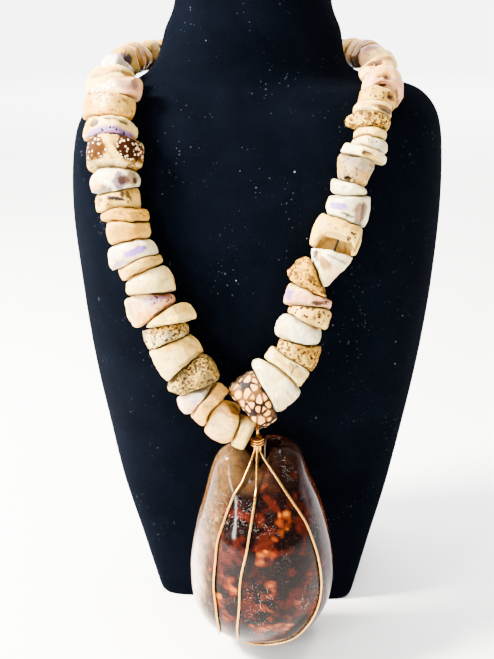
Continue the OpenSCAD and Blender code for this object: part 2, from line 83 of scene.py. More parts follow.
def standCamera(s):
    # on the photo's line of sight, at the photo's focal length
    down, turn = math.radians(s["lookDown"]), math.radians(s["lookRound"])
    level = math.cos(down)
    look = Vector((-math.sin(turn) * level, math.cos(turn) * level, -math.sin(down)))
    lens = bpy.data.cameras.new("photoCamera")
    lens.sensor_width = s["sensorWide"]
    lens.lens = s["focalPixels"] / s["imageHeight"] * lens.sensor_width
    lens.clip_start, lens.clip_end = s["clip"]
    eye = addObject("photoCamera", lens)
    eye.location = Vector(s["target"]) * mm - look * s["distance"] * mm
    aimAlong(eye, look)
    bpy.context.scene.camera = eye


def hangLamps(rows):
    for name, place, aim, size, watts, tone in rows:
        lamp = bpy.data.lights.new(name, "AREA")
        lamp.shape, lamp.size, lamp.size_y = "RECTANGLE", *size
        lamp.energy, lamp.color = watts, tone
        holder = addObject(name, lamp)
        holder.location = place
        aimAlong(holder, Vector(aim) - Vector(place))


def lightRoom(s):
    # the room is bright behind and above the stand, and dim where the camera stands
    world = bpy.data.worlds.new("paleRoom")
    world.use_nodes = True
    tree = world.node_tree
    back = tree.nodes["Background"]
    where = tree.nodes.new("ShaderNodeTexCoord")
    along = tree.nodes.new("ShaderNodeVectorMath")
    along.operation = "DOT_PRODUCT"
    along.inputs[1].default_value = Vector(s["brightWay"]).normalized()
    reach = tree.nodes.new("ShaderNodeMapRange")
    reach.interpolation_type = "SMOOTHSTEP"
    for socket, value in zip(("From Min", "From Max", "To Min", "To Max"), s["skyRange"]):
        reach.inputs[socket].default_value = value
    tree.links.new(where.outputs["Generated"], along.inputs[0])
    tree.links.new(along.outputs["Value"], reach.inputs["Value"])
    tree.links.new(reach.outputs["Result"], back.inputs["Strength"])
    back.inputs["Color"].default_value = (*s["skyTone"], 1)
    bpy.context.scene.world = world


standCamera(studio)
hangLamps(lamps)
lightRoom(studio)
print("camera and lamps are up")


# Small number tools, all on whole arrays


def unit(v):  # each vector over its own length
    return v / np.maximum(np.linalg.norm(v, axis=-1, keepdims=True), 1e-12)


def smoothStep(low, high, x):  # 3t^2 - 2t^3 from low to high, which may fall
    t = np.clip((x - low) / (high - low), 0, 1)
    return t * t * (3 - 2 * t)


def blendTo(a, b, share):  # a + (b - a) share
    return a + (b - a) * share


def signedPower(v, p):
    return np.sign(v) * np.abs(v) ** p


def throughPoints(points, steps, closed=False):
    # each span is the cubic of its two ends and their two neighbours
    p = np.asarray(points, float)
    a = np.concatenate([p[-2:-1] if closed else p[:1], p[:-2]])[:, None]
    b, c = p[:-1][:, None], p[1:][:, None]
    d = np.concatenate([p[2:], p[1:2] if closed else p[-1:]])[:, None]
    t = (np.arange(steps) / steps)[None, :, None]
    square, cube = 2 * a - 5 * b + 4 * c - d, 3 * b - a - 3 * c + d
    mid = 0.5 * (2 * b + (c - a) * t + square * t**2 + cube * t**3)
    return np.concatenate([mid.reshape(-1, p.shape[1]), p[-1:]])


def lengthSoFar(p):
    return np.concatenate([[0], np.cumsum(np.linalg.norm(np.diff(p, axis=0), axis=1))])


def evenly(p, count):  # the same curve with points an equal length apart
    run = lengthSoFar(p)
    want = np.linspace(0, run[-1], count)
    return np.stack([np.interp(want, run, p[:, k]) for k in range(p.shape[1])], -1)


def chance(cells, seed):  # one number from 0 to 1 for each whole-number cell
    c = cells.astype(np.int64).astype(np.uint32)
    h = c[..., 0] * np.uint32(374761393) + c[..., 1] * np.uint32(668265263)
    h = h + c[..., 2] * np.uint32(2246822519) + np.uint32((seed * 3266489917) % 4294967296)
    h = (h ^ (h >> np.uint32(15))) * np.uint32(2654435761)
    h = (h ^ (h >> np.uint32(13))) * np.uint32(1274126177)
    return (h ^ (h >> np.uint32(16))).astype(float) / 4294967295.0


corners = np.array([[i, j, k] for i in (0, 1) for j in (0, 1) for k in (0, 1)])
around = np.array([[i, j, k] for i in (-1, 0, 1) for j in (-1, 0, 1) for k in (-1, 0, 1)])


def softNoise(p, seed):
    # a chance value at each corner of a unit lattice, blended smoothly between corners, -1 to 1
    cell = np.floor(p)
    t = p - cell
    t = t * t * (3 - 2 * t)
    total = 0
    for corner in corners:
        share = np.prod(np.where(corner, t, 1 - t), axis=-1)
        total = total + share * chance(cell + corner, seed)
    return total * 2 - 1


def layeredNoise(p, seed, layers=3):  # sum of noises, each twice as fine and half as strong
    return sum(softNoise(p * 2**k, seed + 17 * k) * 0.5**k for k in range(layers))


def nearestDots(p, seed):
    # one dot at a chance place in each unit cell: distances to the nearest and the next one
    cell = np.floor(p)
    found = []
    for step in around:
        here = cell + step
        dot = here + np.stack([chance(here, seed + k) for k in range(3)], -1)
        found.append(np.linalg.norm(p - dot, axis=-1))
    found = np.partition(np.stack(found), 1, axis=0)
    return found[0], found[1]


def apart(degrees):  # the same turn either way round, 0 to 180
    return np.abs((degrees + 180) % 360 - 180)


def linearTone(code):  # "#rrggbb" as the linear light that a shader works in
    v = np.array([int(code[k : k + 2], 16) / 255 for k in (1, 3, 5)])
    return np.where(v <= 0.04045, v / 12.92, ((v + 0.055) / 1.055) ** 2.4)


# Meshes from grids


def gridFaces(rows, cols, closeRows, closeCols):
    i = np.arange(rows if closeRows else rows - 1)[:, None]
    j = np.arange(cols if closeCols else cols - 1)[None, :]
    i2, j2 = (i + 1) % rows, (j + 1) % cols
    return np.stack([i * cols + j, i2 * cols + j, i2 * cols + j2, i * cols + j2], -1).reshape(-1, 4)


def cappedFaces(rows, cols):
    # a tube of quads, with a fan at each end to one of the two points that follow the grid
    k = np.arange(cols)
    k2 = (k + 1) % cols
    pole, last = rows * cols, (rows - 1) * cols
    low = np.stack([0 * k + pole, k, k2, k2], -1)
    high = np.stack([0 * k + pole + 1, last + k2, last + k, last + k], -1)
    return np.concatenate([gridFaces(rows, cols, False, True), low, high])


def gridNormals(grid, closeRows, closeCols):
    # the cross product of the two grid directions at each point
    def slope(g, axis, closed):
        if closed:
            return np.roll(g, -1, axis) - np.roll(g, 1, axis)
        return np.gradient(g, axis=axis)

    return unit(np.cross(slope(grid, 0, closeRows), slope(grid, 1, closeCols)))


def putMesh(name, points, faces, material, body, nodes, paint=None, extras=None):
    # faces are quads; a triangle repeats its last corner
    mesh = bpy.data.meshes.new(name)
    loops = faces.astype(np.int32)
    isTriangle = loops[:, 2] == loops[:, 3]
    counts = np.where(isTriangle, 3, 4).astype(np.int32)
    keep = np.ones(loops.shape, bool)
    keep[:, 3] = ~isTriangle
    flat = loops[keep]
    mesh.vertices.add(len(points))
    mesh.vertices.foreach_set("co", (points * mm).astype(np.float32).ravel())
    mesh.loops.add(len(flat))
    mesh.loops.foreach_set("vertex_index", flat)
    mesh.polygons.add(len(loops))
    starts = np.concatenate([[0], np.cumsum(counts)[:-1]]).astype(np.int32)
    mesh.polygons.foreach_set("loop_start", starts)
    mesh.polygons.foreach_set("loop_total", counts)
    mesh.polygons.foreach_set("use_smooth", np.ones(len(loops), bool))
    mesh.update()
    mesh.validate()
    if paint is not None:
        layer = mesh.color_attributes.new("paint", "FLOAT_COLOR", "POINT")
        rgba = np.concatenate([np.clip(paint, 0, 1), np.ones((len(paint), 1))], 1)
        layer.data.foreach_set("color", rgba.astype(np.float32).ravel())
    for key, values in (extras or {}).items():
        layer = mesh.attributes.new(key, "FLOAT", "POINT")
        layer.data.foreach_set("value", values.astype(np.float32))
    mesh.materials.append(material)
    piece = addObject(name, mesh)
    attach(piece, body)
    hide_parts(*nodes)
    return piece


class Heap:  # painted grids gathered into one mesh
    def __init__(self):
        self.points, self.faces, self.paint, self.count = [], [], [], 0

    def add(self, points, faces, paint):
        self.points.append(points)
        self.faces.append(faces + self.count)
        self.paint.append(paint)
        self.count += len(points)

    def whole(self):
        return [np.concatenate(part) for part in (self.points, self.faces, self.paint)]


def tubeGrid(path, radius, sides):
    # a ring round each point of the path; its frame is carried along without twisting
    path = np.asarray(path, float)
    ahead = unit(np.gradient(path, axis=0))
    side = unit(np.cross(ahead[0], [0, 0, 1] if abs(ahead[0, 2]) < 0.8 else [1, 0, 0]))
    sidesRow = [side]
    for t in ahead[1:]:
        side = unit(side - t * (side @ t))
        sidesRow.append(side)
    s = np.array(sidesRow)
    up = np.cross(ahead, s)
    turn = 2 * np.pi * np.arange(sides) / sides
    r = np.broadcast_to(np.asarray(radius, float), len(path))[:, None, None]
    ring = s[:, None] * np.cos(turn)[None, :, None] - up[:, None] * np.sin(turn)[None, :, None]
    return path[:, None] + r * ring


def tubeMesh(path, radius, sides):  # the tube with a flat cap at each end
    points = np.concatenate([tubeGrid(path, radius, sides).reshape(-1, 3), path[:1], path[-1:]])
    return points, cappedFaces(len(path), sides)


# Shader sums written as plain expressions


class Sum:
    def __init__(self, look, socket):
        self.look, self.socket = look, socket

    def worked(self, operation, *others):
        node = self.look.tree.nodes.new("ShaderNodeMath")
        node.operation = operation
        for k, value in enumerate((self, *others)):
            self.look.feed(node.inputs[k], value)
        return Sum(self.look, node.outputs[0])

    def __add__(self, other):
        return self.worked("ADD", other)

    def __radd__(self, other):
        return self.worked("ADD", other)

    def __sub__(self, other):
        return self.worked("SUBTRACT", other)

    def __rsub__(self, other):
        return self.look.number(other).worked("SUBTRACT", self)

    def __mul__(self, other):
        return self.worked("MULTIPLY", other)

    def __rmul__(self, other):
        return self.worked("MULTIPLY", other)


class Look:  # one material and the nodes that make it
    def __init__(self, name):
        self.material = bpy.data.materials.new(name)
        self.material.use_nodes = True
        self.tree = self.material.node_tree
        self.shader = self.tree.nodes["Principled BSDF"]

    def feed(self, socket, value):
        if isinstance(value, Sum):
            self.tree.links.new(value.socket, socket)
        elif isinstance(value, bpy.types.NodeSocket):
            self.tree.links.new(value, socket)
        elif hasattr(value, "__len__") and len(value) == 3 and len(socket.default_value) == 4:
            socket.default_value = (*value, 1)
        else:
            socket.default_value = value

    def node(self, kind, settings=None, sockets=None, out=0):
        n = self.tree.nodes.new(kind)
        for key, value in (settings or {}).items():
            setattr(n, key, value)
        for key, value in (sockets or {}).items():
            self.feed(n.inputs[key], value)
        return Sum(self, n.outputs[out])

    def number(self, value):
        return self.node("ShaderNodeMath", {"operation": "ADD"}, {0: value, 1: 0.0})

    def place(self):
        return self.node("ShaderNodeTexCoord", out=3)  # object coordinates

    def drawnOut(self, scale, turn):  # the same place, stretched and turned
        sockets = {"Vector": self.place(), "Scale": scale, "Rotation": turn}
        return self.node("ShaderNodeMapping", {}, sockets)

    def noise(self, scale, detail=3.0, rough=0.5, warp=0.0, where=None):
        sockets = {"Vector": where or self.place(), "Scale": scale, "Detail": detail}
        sockets.update({"Roughness": rough, "Distortion": warp})
        return self.node("ShaderNodeTexNoise", {}, sockets)

    def dots(self, scale, feature="F1", where=None):
        sockets = {"Vector": where or self.place(), "Scale": scale}
        return self.node("ShaderNodeTexVoronoi", {"feature": feature}, sockets, "Distance")

    def ramp(self, value, low, high, toLow=0.0, toHigh=1.0):
        sockets = {"Value": value, "From Min": low, "From Max": high, "To Min": toLow, "To Max": toHigh}
        return self.node("ShaderNodeMapRange", {"interpolation_type": "SMOOTHSTEP"}, sockets)

    def mix(self, share, a, b, how="MIX"):
        settings = {"data_type": "RGBA", "blend_type": how}
        return self.node("ShaderNodeMix", settings, {0: share, 6: a, 7: b}, out=2)

    def tint(self, share, a, b):  # a times b, by its share
        return self.mix(share, a, b, "MULTIPLY")

    def attribute(self, name, out="Color"):
        return self.node("ShaderNodeAttribute", {"attribute_name": name}, out=out)

    def bump(self, height, strength, distance):
        sockets = {"Height": height, "Strength": strength, "Distance": distance}
        return self.node("ShaderNodeBump", {}, sockets)

    def finish(self, **sockets):
        for key, value in sockets.items():
            self.feed(self.shader.inputs[key.replace("_", " ")], value)
        return self.material


# Bust: a stack of rounded sections under black velvet

bust = {
    "height": 335.0,
    "shoulders": 180.0,
    "foot": 104.0,
    "neck": 72.0,
    "chestDeep": 116.0,
    "footDeep": 80.0,
    "velvet": "#020306",
    "sheen": (0.50, 0.55, 0.70),
    "sheenAmount": 0.012,
    "lint": "#8f94a6",
    "turns": 160,
    "rowSteps": 7,
    "poleSteps": 7,
    # the floor's edge is drawn in, below this height
    "hemHigh": 1.2,
    "hemShare": 0.985,
    # height, width it follows, left, right, depth it follows, front, back, squareness
    "rows": [
        (0.000, "foot", 0.485, 0.508, "footDeep", 0.502, 0.482, 9.7),
        (0.100, "foot", 0.580, 0.590, "footDeep", 0.525, 0.500, 6.5),
        (0.200, "shoulders", 0.395, 0.392, "footDeep", 0.560, 0.530, 4.2),
        (0.290, "shoulders", 0.428, 0.425, "chestDeep", 0.440, 0.385, 3.4),
        (0.360, "shoulders", 0.450, 0.447, "chestDeep", 0.520, 0.395, 3.0),
        (0.430, "shoulders", 0.470, 0.467, "chestDeep", 0.568, 0.405, 2.7),
        (0.510, "shoulders", 0.488, 0.484, "chestDeep", 0.578, 0.412, 2.5),
        (0.610, "shoulders", 0.502, 0.494, "chestDeep", 0.562, 0.412, 2.5),
        (0.690, "shoulders", 0.496, 0.492, "chestDeep", 0.500, 0.395, 2.5),
        (0.740, "shoulders", 0.472, 0.480, "chestDeep", 0.428, 0.370, 2.5),
        (0.768, "shoulders", 0.414, 0.452, "chestDeep", 0.362, 0.345, 2.4),
        (0.784, "shoulders", 0.356, 0.408, "chestDeep", 0.326, 0.328, 2.3),
        (0.793, "shoulders", 0.320, 0.330, "chestDeep", 0.310, 0.319, 2.2),
        (0.806, "shoulders", 0.286, 0.252, "chestDeep", 0.302, 0.310, 2.1),
        (0.826, "shoulders", 0.262, 0.226, "chestDeep", 0.298, 0.302, 2.1),
        (0.860, "neck", 0.610, 0.535, "neck", 0.500, 0.472, 2.0),
        (0.900, "neck", 0.540, 0.470, "neck", 0.486, 0.472, 2.0),
        (0.985, "neck", 0.515, 0.455, "neck", 0.475, 0.470, 2.0),
        (0.997, "neck", 0.500, 0.440, "neck", 0.460, 0.455, 2.0),
        (1.000, "neck", 0.465, 0.405, "neck", 0.425, 0.420, 2.0),
    ],
}


def bustSurface(b):
    # ring at each height: x is the side's reach times sin^(2/n), y the front's or back's times
    # cos^(2/n); the foot and the crown close on a middle point each
    rows = np.array(
        [
            (h * b["height"], b[w] * left, b[w] * right, b[d] * front, b[d] * back, n)
            for h, w, left, right, d, front, back, n in b["rows"]
        ]
    )
    smooth = throughPoints(rows, b["rowSteps"])
    smooth[:, 0] = np.clip(smooth[:, 0], 0, b["height"])
    hem = smooth[:1].copy()
    hem[:, 1:5] *= b["hemShare"]
    smooth[0, 0] = b["hemHigh"]
    smooth = np.concatenate([hem, smooth])
    turn = -2 * np.pi * np.arange(b["turns"]) / b["turns"]
    s, c = np.sin(turn)[None], np.cos(turn)[None]
    z, left, right, front, back, n = (smooth[:, k][:, None] for k in range(6))
    x = np.where(s > 0, right, left) * signedPower(s, 2 / n)
    y = -np.where(c > 0, front, back) * signedPower(c, 2 / n)
    grid = np.stack([x, y, z + 0 * x], -1)
    shrink = np.linspace(0, 1, b["poleSteps"])[1:-1][:, None, None]
    foot, crown = grid[0], grid[-1]
    footMid = np.zeros(3)
    crownMid = np.array([crown[:, 0].mean(), crown[:, 1].mean(), b["height"]])
    bottom, top = blendTo(foot, footMid, shrink)[::-1], blendTo(crown, crownMid, shrink)
    grid = np.concatenate([bottom, grid, top])
    points = np.concatenate([grid.reshape(-1, 3), [footMid], [crownMid]])
    return points, cappedFaces(*grid.shape[:2])


def velvetLook(b):
    look = Look("blackVelvet")
    velvet, lintTone = linearTone(b["velvet"]), linearTone(b["lint"])
    pile = look.noise(2600.0, 2.0)
    brushed = look.noise(28.0, 3.0, 0.6, 0.8)
    lint = look.ramp(look.dots(120.0) + look.noise(190.0, 1.0) * 0.14, 0.100, 0.085)
    hair = look.drawnOut((1.0, 1.0, 0.22), (0.5, 0.9, 0.7))
    strand = look.ramp(look.dots(150.0, "F1", hair) + look.noise(150.0, 1.0) * 0.2, 0.125, 0.10)
    fibre = look.ramp(look.dots(420.0) + look.noise(70.0, 1.0) * 0.5, 0.34, 0.28) * 0.5
    ground = look.mix(look.ramp(brushed, 0.35, 0.7), velvet * 0.75, velvet * 1.4)
    ground = look.mix(pile * 0.35, ground, velvet * 2.2)
    for share, tone in ((fibre * 0.25, 0.4), (strand * 0.12, 0.7), (lint * 0.28, 1.0)):
        ground = look.mix(share, ground, lintTone * tone)
    return look.finish(
        Base_Color=ground,
        Roughness=0.92,
        Specular_IOR_Level=0.0,
        Sheen_Weight=b["sheenAmount"],
        Sheen_Roughness=0.42,
        Sheen_Tint=(*b["sheen"], 1),
        Normal=look.bump(pile + brushed * 0.6, 0.35, 0.0006),
    )


points, faces = bustSurface(bust)
piece = putMesh("velvet_bust", points, faces, velvetLook(bust), "stand", ["bust"])
print("bust,", len(points), "points")


# String: its route round the neck, and how each bead sits on it

string = {
    "beadWide": 25.0,
    "beadLong": 11.0,
    "plainLong": 10.0,
    "bore": 2.6,
    "beadGap": 0.12,
    "bow": 0.75,
    "cord": 1.1,
    "claspLong": 14.0,
    "claspWide": 6.0,
    "clear": 0.35,
    "bailLoop": 2.1,
    "wire": 1.1,
    "pivot": (0.039 * 90.0, -0.672 * 116.0, 118.0),
    "yoke": 0.83 * 335.0,
    "routeSteps": 6,
    "rimPower": 2.4,
    "rimLobes": 0.025,
    "rimWave": 0.035,
    # towards a viewer, who sees that side of a bead as 90 degrees
    "viewerWay": (0, -0.94, 0.34),
    "boreRows": 7,
    # across as a share of half the shoulders, forward as a share of the chest, rise from bail to neck
    "route": [
        (0.000, -0.425, 0.960), (-0.300, -0.395, 0.965), (-0.545, -0.285, 0.975),
        (-0.655, -0.147, 0.972),
        (-0.705, 0.000, 0.968), (-0.716, 0.145, 0.944), (-0.712, 0.290, 0.895), (-0.700, 0.400, 0.835),
        (-0.676, 0.478, 0.750), (-0.656, 0.526, 0.663), (-0.611, 0.569, 0.569), (-0.556, 0.612, 0.475),
        (-0.478, 0.629, 0.375), (-0.411, 0.647, 0.269), (-0.311, 0.667, 0.169), (-0.150, 0.672, 0.053),
        (0.039, 0.672, 0.000), (0.094, 0.674, 0.063), (0.178, 0.672, 0.188), (0.244, 0.664, 0.288),
        (0.300, 0.647, 0.400), (0.389, 0.629, 0.500), (0.456, 0.586, 0.619), (0.511, 0.534, 0.738),
        (0.570, 0.464, 0.838), (0.610, 0.362, 0.902), (0.630, 0.222, 0.948), (0.612, 0.065, 0.972),
        (0.575, -0.086, 0.982), (0.490, -0.250, 0.980), (0.310, -0.385, 0.970), (0.000, -0.425, 0.960),
    ],
    "pivotRow": 16,
    "away": [(0.56, 0.02), (0.67, 0.09), (0.72, 0.16), (0.76, 0.24), (0.79, 0.34), (0.82, 0.44)],
    "ownFromLeft": 4,
    "ownToRight": 18,
    # name, length, lean, nod, outer, inner, front, back, form
    "left": [
        ("l00", 0.75, 0, 0, 0.58, 0.58, 0.62, 0.58, "disc"),
        ("l01", 0.85, 10, -8, 0.64, 0.62, 0.66, 0.60, "cup_prev"),
        ("l02", 1.05, 20, -16, 0.62, 0.58, 0.66, 0.60, "pebble"),
        ("l03", 0.91, 18, -22, 0.78, 0.46, 0.66, 0.54, "disc"),
        ("l04", 1.07, 8, -24, 1.19, 0.85, 0.78, 0.48, "cup_next"),
        ("l05", 0.68, 22, -20, 0.70, 1.26, 0.82, 0.52, "disc"),
        ("l06", 1.02, 18, -14, 1.05, 1.03, 0.80, 0.56, "disc"),
        ("l07", 0.90, 15, -6, 1.00, 1.02, 0.88, 0.60, "dome"),
        ("l08", 1.32, -1, 8, 0.93, 1.13, 0.92, 0.68, "barrel"),
        ("l09", 0.74, 4, -8, 0.90, 0.90, 0.84, 0.72, "dome"),
        ("l10", 0.83, 8, 4, 0.89, 0.69, 0.80, 0.72, "barrel"),
        ("l11", 0.47, 13, 3, 0.78, 0.92, 0.76, 0.70, "disc"),
        ("l12", 0.77, 4, -4, 0.65, 0.81, 0.76, 0.72, "barrel"),
        ("l13", 0.85, -2, 2, 0.90, 0.89, 0.80, 0.72, "dome"),
        ("l14", 0.51, -5, 9, 0.74, 0.91, 0.74, 0.72, "disc"),
        ("l15", 0.91, 12, 16, 0.69, 1.01, 0.86, 0.72, "dome"),
        ("l16", 0.93, -22, 2, 1.06, 0.77, 0.82, 0.72, "pebble"),
        ("l17", 0.46, 4, 13, 0.46, 1.36, 0.84, 0.72, "dome"),
        ("l18", 0.74, 0, 7, 0.85, 0.81, 0.80, 0.74, "disc"),
        ("l19", 1.20, -8, 7, 0.88, 0.88, 0.86, 0.78, "barrel"),
        ("l20", 1.02, 11, 15, 0.93, 1.10, 0.86, 0.80, "pebble"),
        ("l21", 0.45, -13, 4, 1.05, 0.36, 0.78, 0.74, "pebble"),
        ("l22", 0.65, -8, 11, 0.92, 0.73, 0.80, 0.76, "disc"),
        ("l23", 1.10, -14, 0, 1.08, 0.50, 0.74, 0.78, "pebble"),
        ("l24", 0.73, 12, 12, 0.89, 0.37, 0.80, 0.40, "barrel"),
    ],
    "right": [
        ("centre", 0.70, 43, -13, 0.32, 1.75, 0.88, 0.28, "barrel"),
        ("r01", 1.47, 18, -14, 0.74, 1.40, 0.86, 0.80, "pebble"),
        ("r02", 0.73, 15, -12, 0.82, 0.91, 0.82, 0.76, "disc"),
        ("r03", 0.70, -10, -15, 0.94, 0.66, 0.78, 0.76, "disc"),
        ("r04", 0.91, 9, -8, 0.77, 0.95, 0.84, 0.74, "pebble"),
        ("r05", 0.56, -6, -19, 0.89, 0.63, 0.80, 0.72, "disc"),
        ("r06", 0.67, 1, -6, 0.74, 0.92, 0.76, 0.72, "disc"),
        ("r07", 0.60, 33, 4, 0.46, 1.20, 0.84, 0.70, "pebble"),
        ("r08", 1.13, -4, -8, 0.51, 0.78, 0.88, 0.70, "cone"),
        ("r09", 1.25, 6, -6, 0.75, 0.94, 0.94, 0.70, "cup_prev"),
        ("r10", 1.08, -15, 4, 0.71, 0.77, 0.86, 0.72, "barrel"),
        ("r11", 0.38, 5, 1, 0.46, 0.80, 0.74, 0.70, "dome"),
        ("r12", 1.06, -1, 6, 0.46, 0.81, 0.78, 0.72, "cone"),
        ("r13", 0.36, 0, 0, 0.83, 0.77, 0.80, 0.72, "disc"),
        ("r14", 0.45, -8, 0, 0.76, 0.46, 0.74, 0.72, "pebble"),
        ("r15", 0.36, -12, 4, 0.60, 0.48, 0.70, 0.70, "disc"),
        ("r16", 0.61, -11, 12, 0.60, 0.91, 0.78, 0.68, "pebble"),
        ("r17", 0.45, -12, 16, 0.48, 0.78, 0.78, 0.60, "disc"),
        ("r18", 0.64, -6, 18, 0.57, 0.75, 0.76, 0.56, "disc"),
        ("r19", 1.16, -18, 16, 0.77, 0.70, 0.76, 0.48, "cup_prev"),
        ("r20", 1.05, -16, 16, 0.46, 0.89, 0.72, 0.41, "cup_prev"),
        ("r21", 1.00, -8, 10, 0.64, 0.46, 0.66, 0.43, "pebble"),
        ("r22", 1.10, 0, 0, 0.46, 0.57, 0.62, 0.46, "dome"),
        ("r23", 0.95, 0, 0, 0.56, 0.60, 0.62, 0.50, "disc"),
    ],
    "plain": ("plain", 1, 0, 0, 0.56, 0.56, 0.62, 0.56, "disc"),
    "bailSide": (26, 4),
}

# how a wall goes from its near face to its far face: reach and length, as shares
wallForms = {
    "disc": [
        (0, 0), (0.4, 0.0), (0.83, 0.01), (0.95, 0.08), (1.0, 0.28), (1.0, 0.7), (0.95, 0.92),
        (0.84, 0.99), (0.4, 1), (0, 1),
    ],
    "barrel": [
        (0, 0), (0.4, 0.0), (0.84, 0.01), (0.95, 0.08), (1, 0.3), (1, 0.7), (0.95, 0.93), (0.84, 0.99),
        (0.4, 1), (0, 1),
    ],
    "dome": [
        (0, 0), (0.3, 0.0), (0.64, 0.04), (0.85, 0.18), (0.97, 0.44), (1.01, 0.74), (0.96, 0.93),
        (0.88, 0.985), (0.4, 1), (0, 1),
    ],
    "cone": [
        (0, 0), (0.4, 0), (0.62, 0.02), (0.76, 0.16), (0.9, 0.48), (1, 0.76), (0.94, 0.93),
        (0.84, 0.98), (0.4, 1), (0, 1),
    ],
    "cup_prev": [
        (0, 0.5), (0.3, 0.47), (0.62, 0.34), (0.74, 0.06), (0.84, 0.0), (0.95, 0.07), (1, 0.4),
        (0.98, 0.72), (0.88, 0.94), (0.6, 0.99), (0, 1),
    ],
    "cup_next": [
        (0, 0), (0.6, 0.01), (0.88, 0.07), (0.98, 0.3), (1, 0.6), (0.95, 0.93), (0.84, 1), (0.74, 0.94),
        (0.62, 0.68), (0.3, 0.55), (0, 0.5),
    ],
    "pebble": [
        (0, 0), (0.3, 0.0), (0.68, 0.03), (0.9, 0.13), (0.99, 0.36), (0.99, 0.62), (0.91, 0.86),
        (0.68, 0.97), (0.3, 1), (0, 1),
    ],
}

routePoints = throughPoints(
    [
        (
            across * bust["shoulders"] / 2,
            -forward * bust["chestDeep"],
            blendTo(string["pivot"][2], string["yoke"], rise),
        )
        for across, forward, rise in string["route"]
    ],
    string["routeSteps"],
    True,
)
routeRun = lengthSoFar(routePoints)
routeLength = routeRun[-1]
pivotRun = routeRun[string["pivotRow"] * string["routeSteps"]]


def onRoute(run):
    return np.stack([np.interp(run, routeRun, routePoints[:, k]) for k in range(3)], -1)


def heading(run):
    return unit(onRoute(run + 1) - onRoute(run - 1))


def awayFromBust(p):
    share = np.array(string["away"])
    up = bust["shoulders"] * np.interp(p[2] / bust["height"], share[:, 0], share[:, 1])
    return unit(np.array([0.45 * p[0], p[1], up]))


def faceLooks(run, lean, nod):
    # the string's heading, leant across it and nodded towards the front
    ahead, out = heading(run), awayFromBust(onRoute(run))
    front = unit(out - ahead * (out @ ahead))
    across = np.cross(ahead, front)
    lean, nod = math.radians(lean), math.radians(nod)
    leant = ahead * math.cos(lean) * math.cos(nod) + across * math.sin(lean)
    return unit(leant + front * math.sin(nod))


def wallCurve(form, rows):
    curve = throughPoints(wallForms[form], 10)
    scaled = evenly(curve * [2.2, 1.0], rows) / [2.2, 1.0]
    return np.clip(scaled[:, 0], 0, 1.02), scaled[:, 1]


def wornFace(off, ahead, front, bow):
    # how far the face stands off its plane: two slow waves over it, and a saddle
    seed, deep = bow
    u, v = off @ np.cross(ahead, front), off @ front
    where = np.stack([u / 8.0, v / 8.0, 0 * u + 13.7 * seed], -1)
    bend = math.cos(2.1 * seed) * u * v / 70 + math.sin(1.3 * seed) * (u**2 - v**2) / 260
    waves = softNoise(where, 71) + 0.45 * softNoise(where * 2.3, 73)
    return deep * (waves + np.clip(bend, -0.9, 0.9))


def rimReach(row, turn, seed):
    # from the cord to the rim at each turn: (|cos|/across)^n + (|sin|/deep)^n = 1 with the four
    # reaches of the row, and a little wavy
    outer, inner, front, back = row[4:8]
    c, s = np.cos(turn), np.sin(turn)
    across, deep = np.where(c > 0, outer, inner), np.where(s > 0, front, back)
    wave = 1 - string["rimLobes"] * (1 + np.cos(3 * turn + math.radians(97 * seed)))
    where = np.stack([1.7 * c, 1.7 * s, 0 * c + 5.3 * seed], -1)
    wave = wave + string["rimWave"] * softNoise(where, 77)
    power = string["rimPower"]
    oval = ((np.abs(c) / across) ** power + (np.abs(s) / deep) ** power) ** (-1 / power)
    return wave * string["beadWide"] / 2 * oval


def wallShares(form, rows, turn, notch):
    # how far out and how far along each ring is, the bore's rings last; a notch cuts an arch
    # into the wall's near end
    reachShare, lengthShare = wallCurve(form, rows)
    boreRows = string["boreRows"]
    throughBore = np.linspace(lengthShare[-1], lengthShare[0], boreRows + 2)[1:-1]
    reachShare = np.concatenate([reachShare, np.zeros(boreRows)])[:, None]
    lengthShare = np.concatenate([lengthShare, throughBore])[:, None] + 0 * turn[None]
    if notch:
        at, wide, depth = notch
        arch = np.sqrt(np.clip(1 - (apart(np.degrees(turn) - at) / wide) ** 2, 0, 1))
        inWall = smoothStep(0.55, 0.72, reachShare)
        lengthShare = lengthShare + depth * arch[None] * inWall * np.clip(1 - lengthShare, 0, 1)
    return reachShare, lengthShare


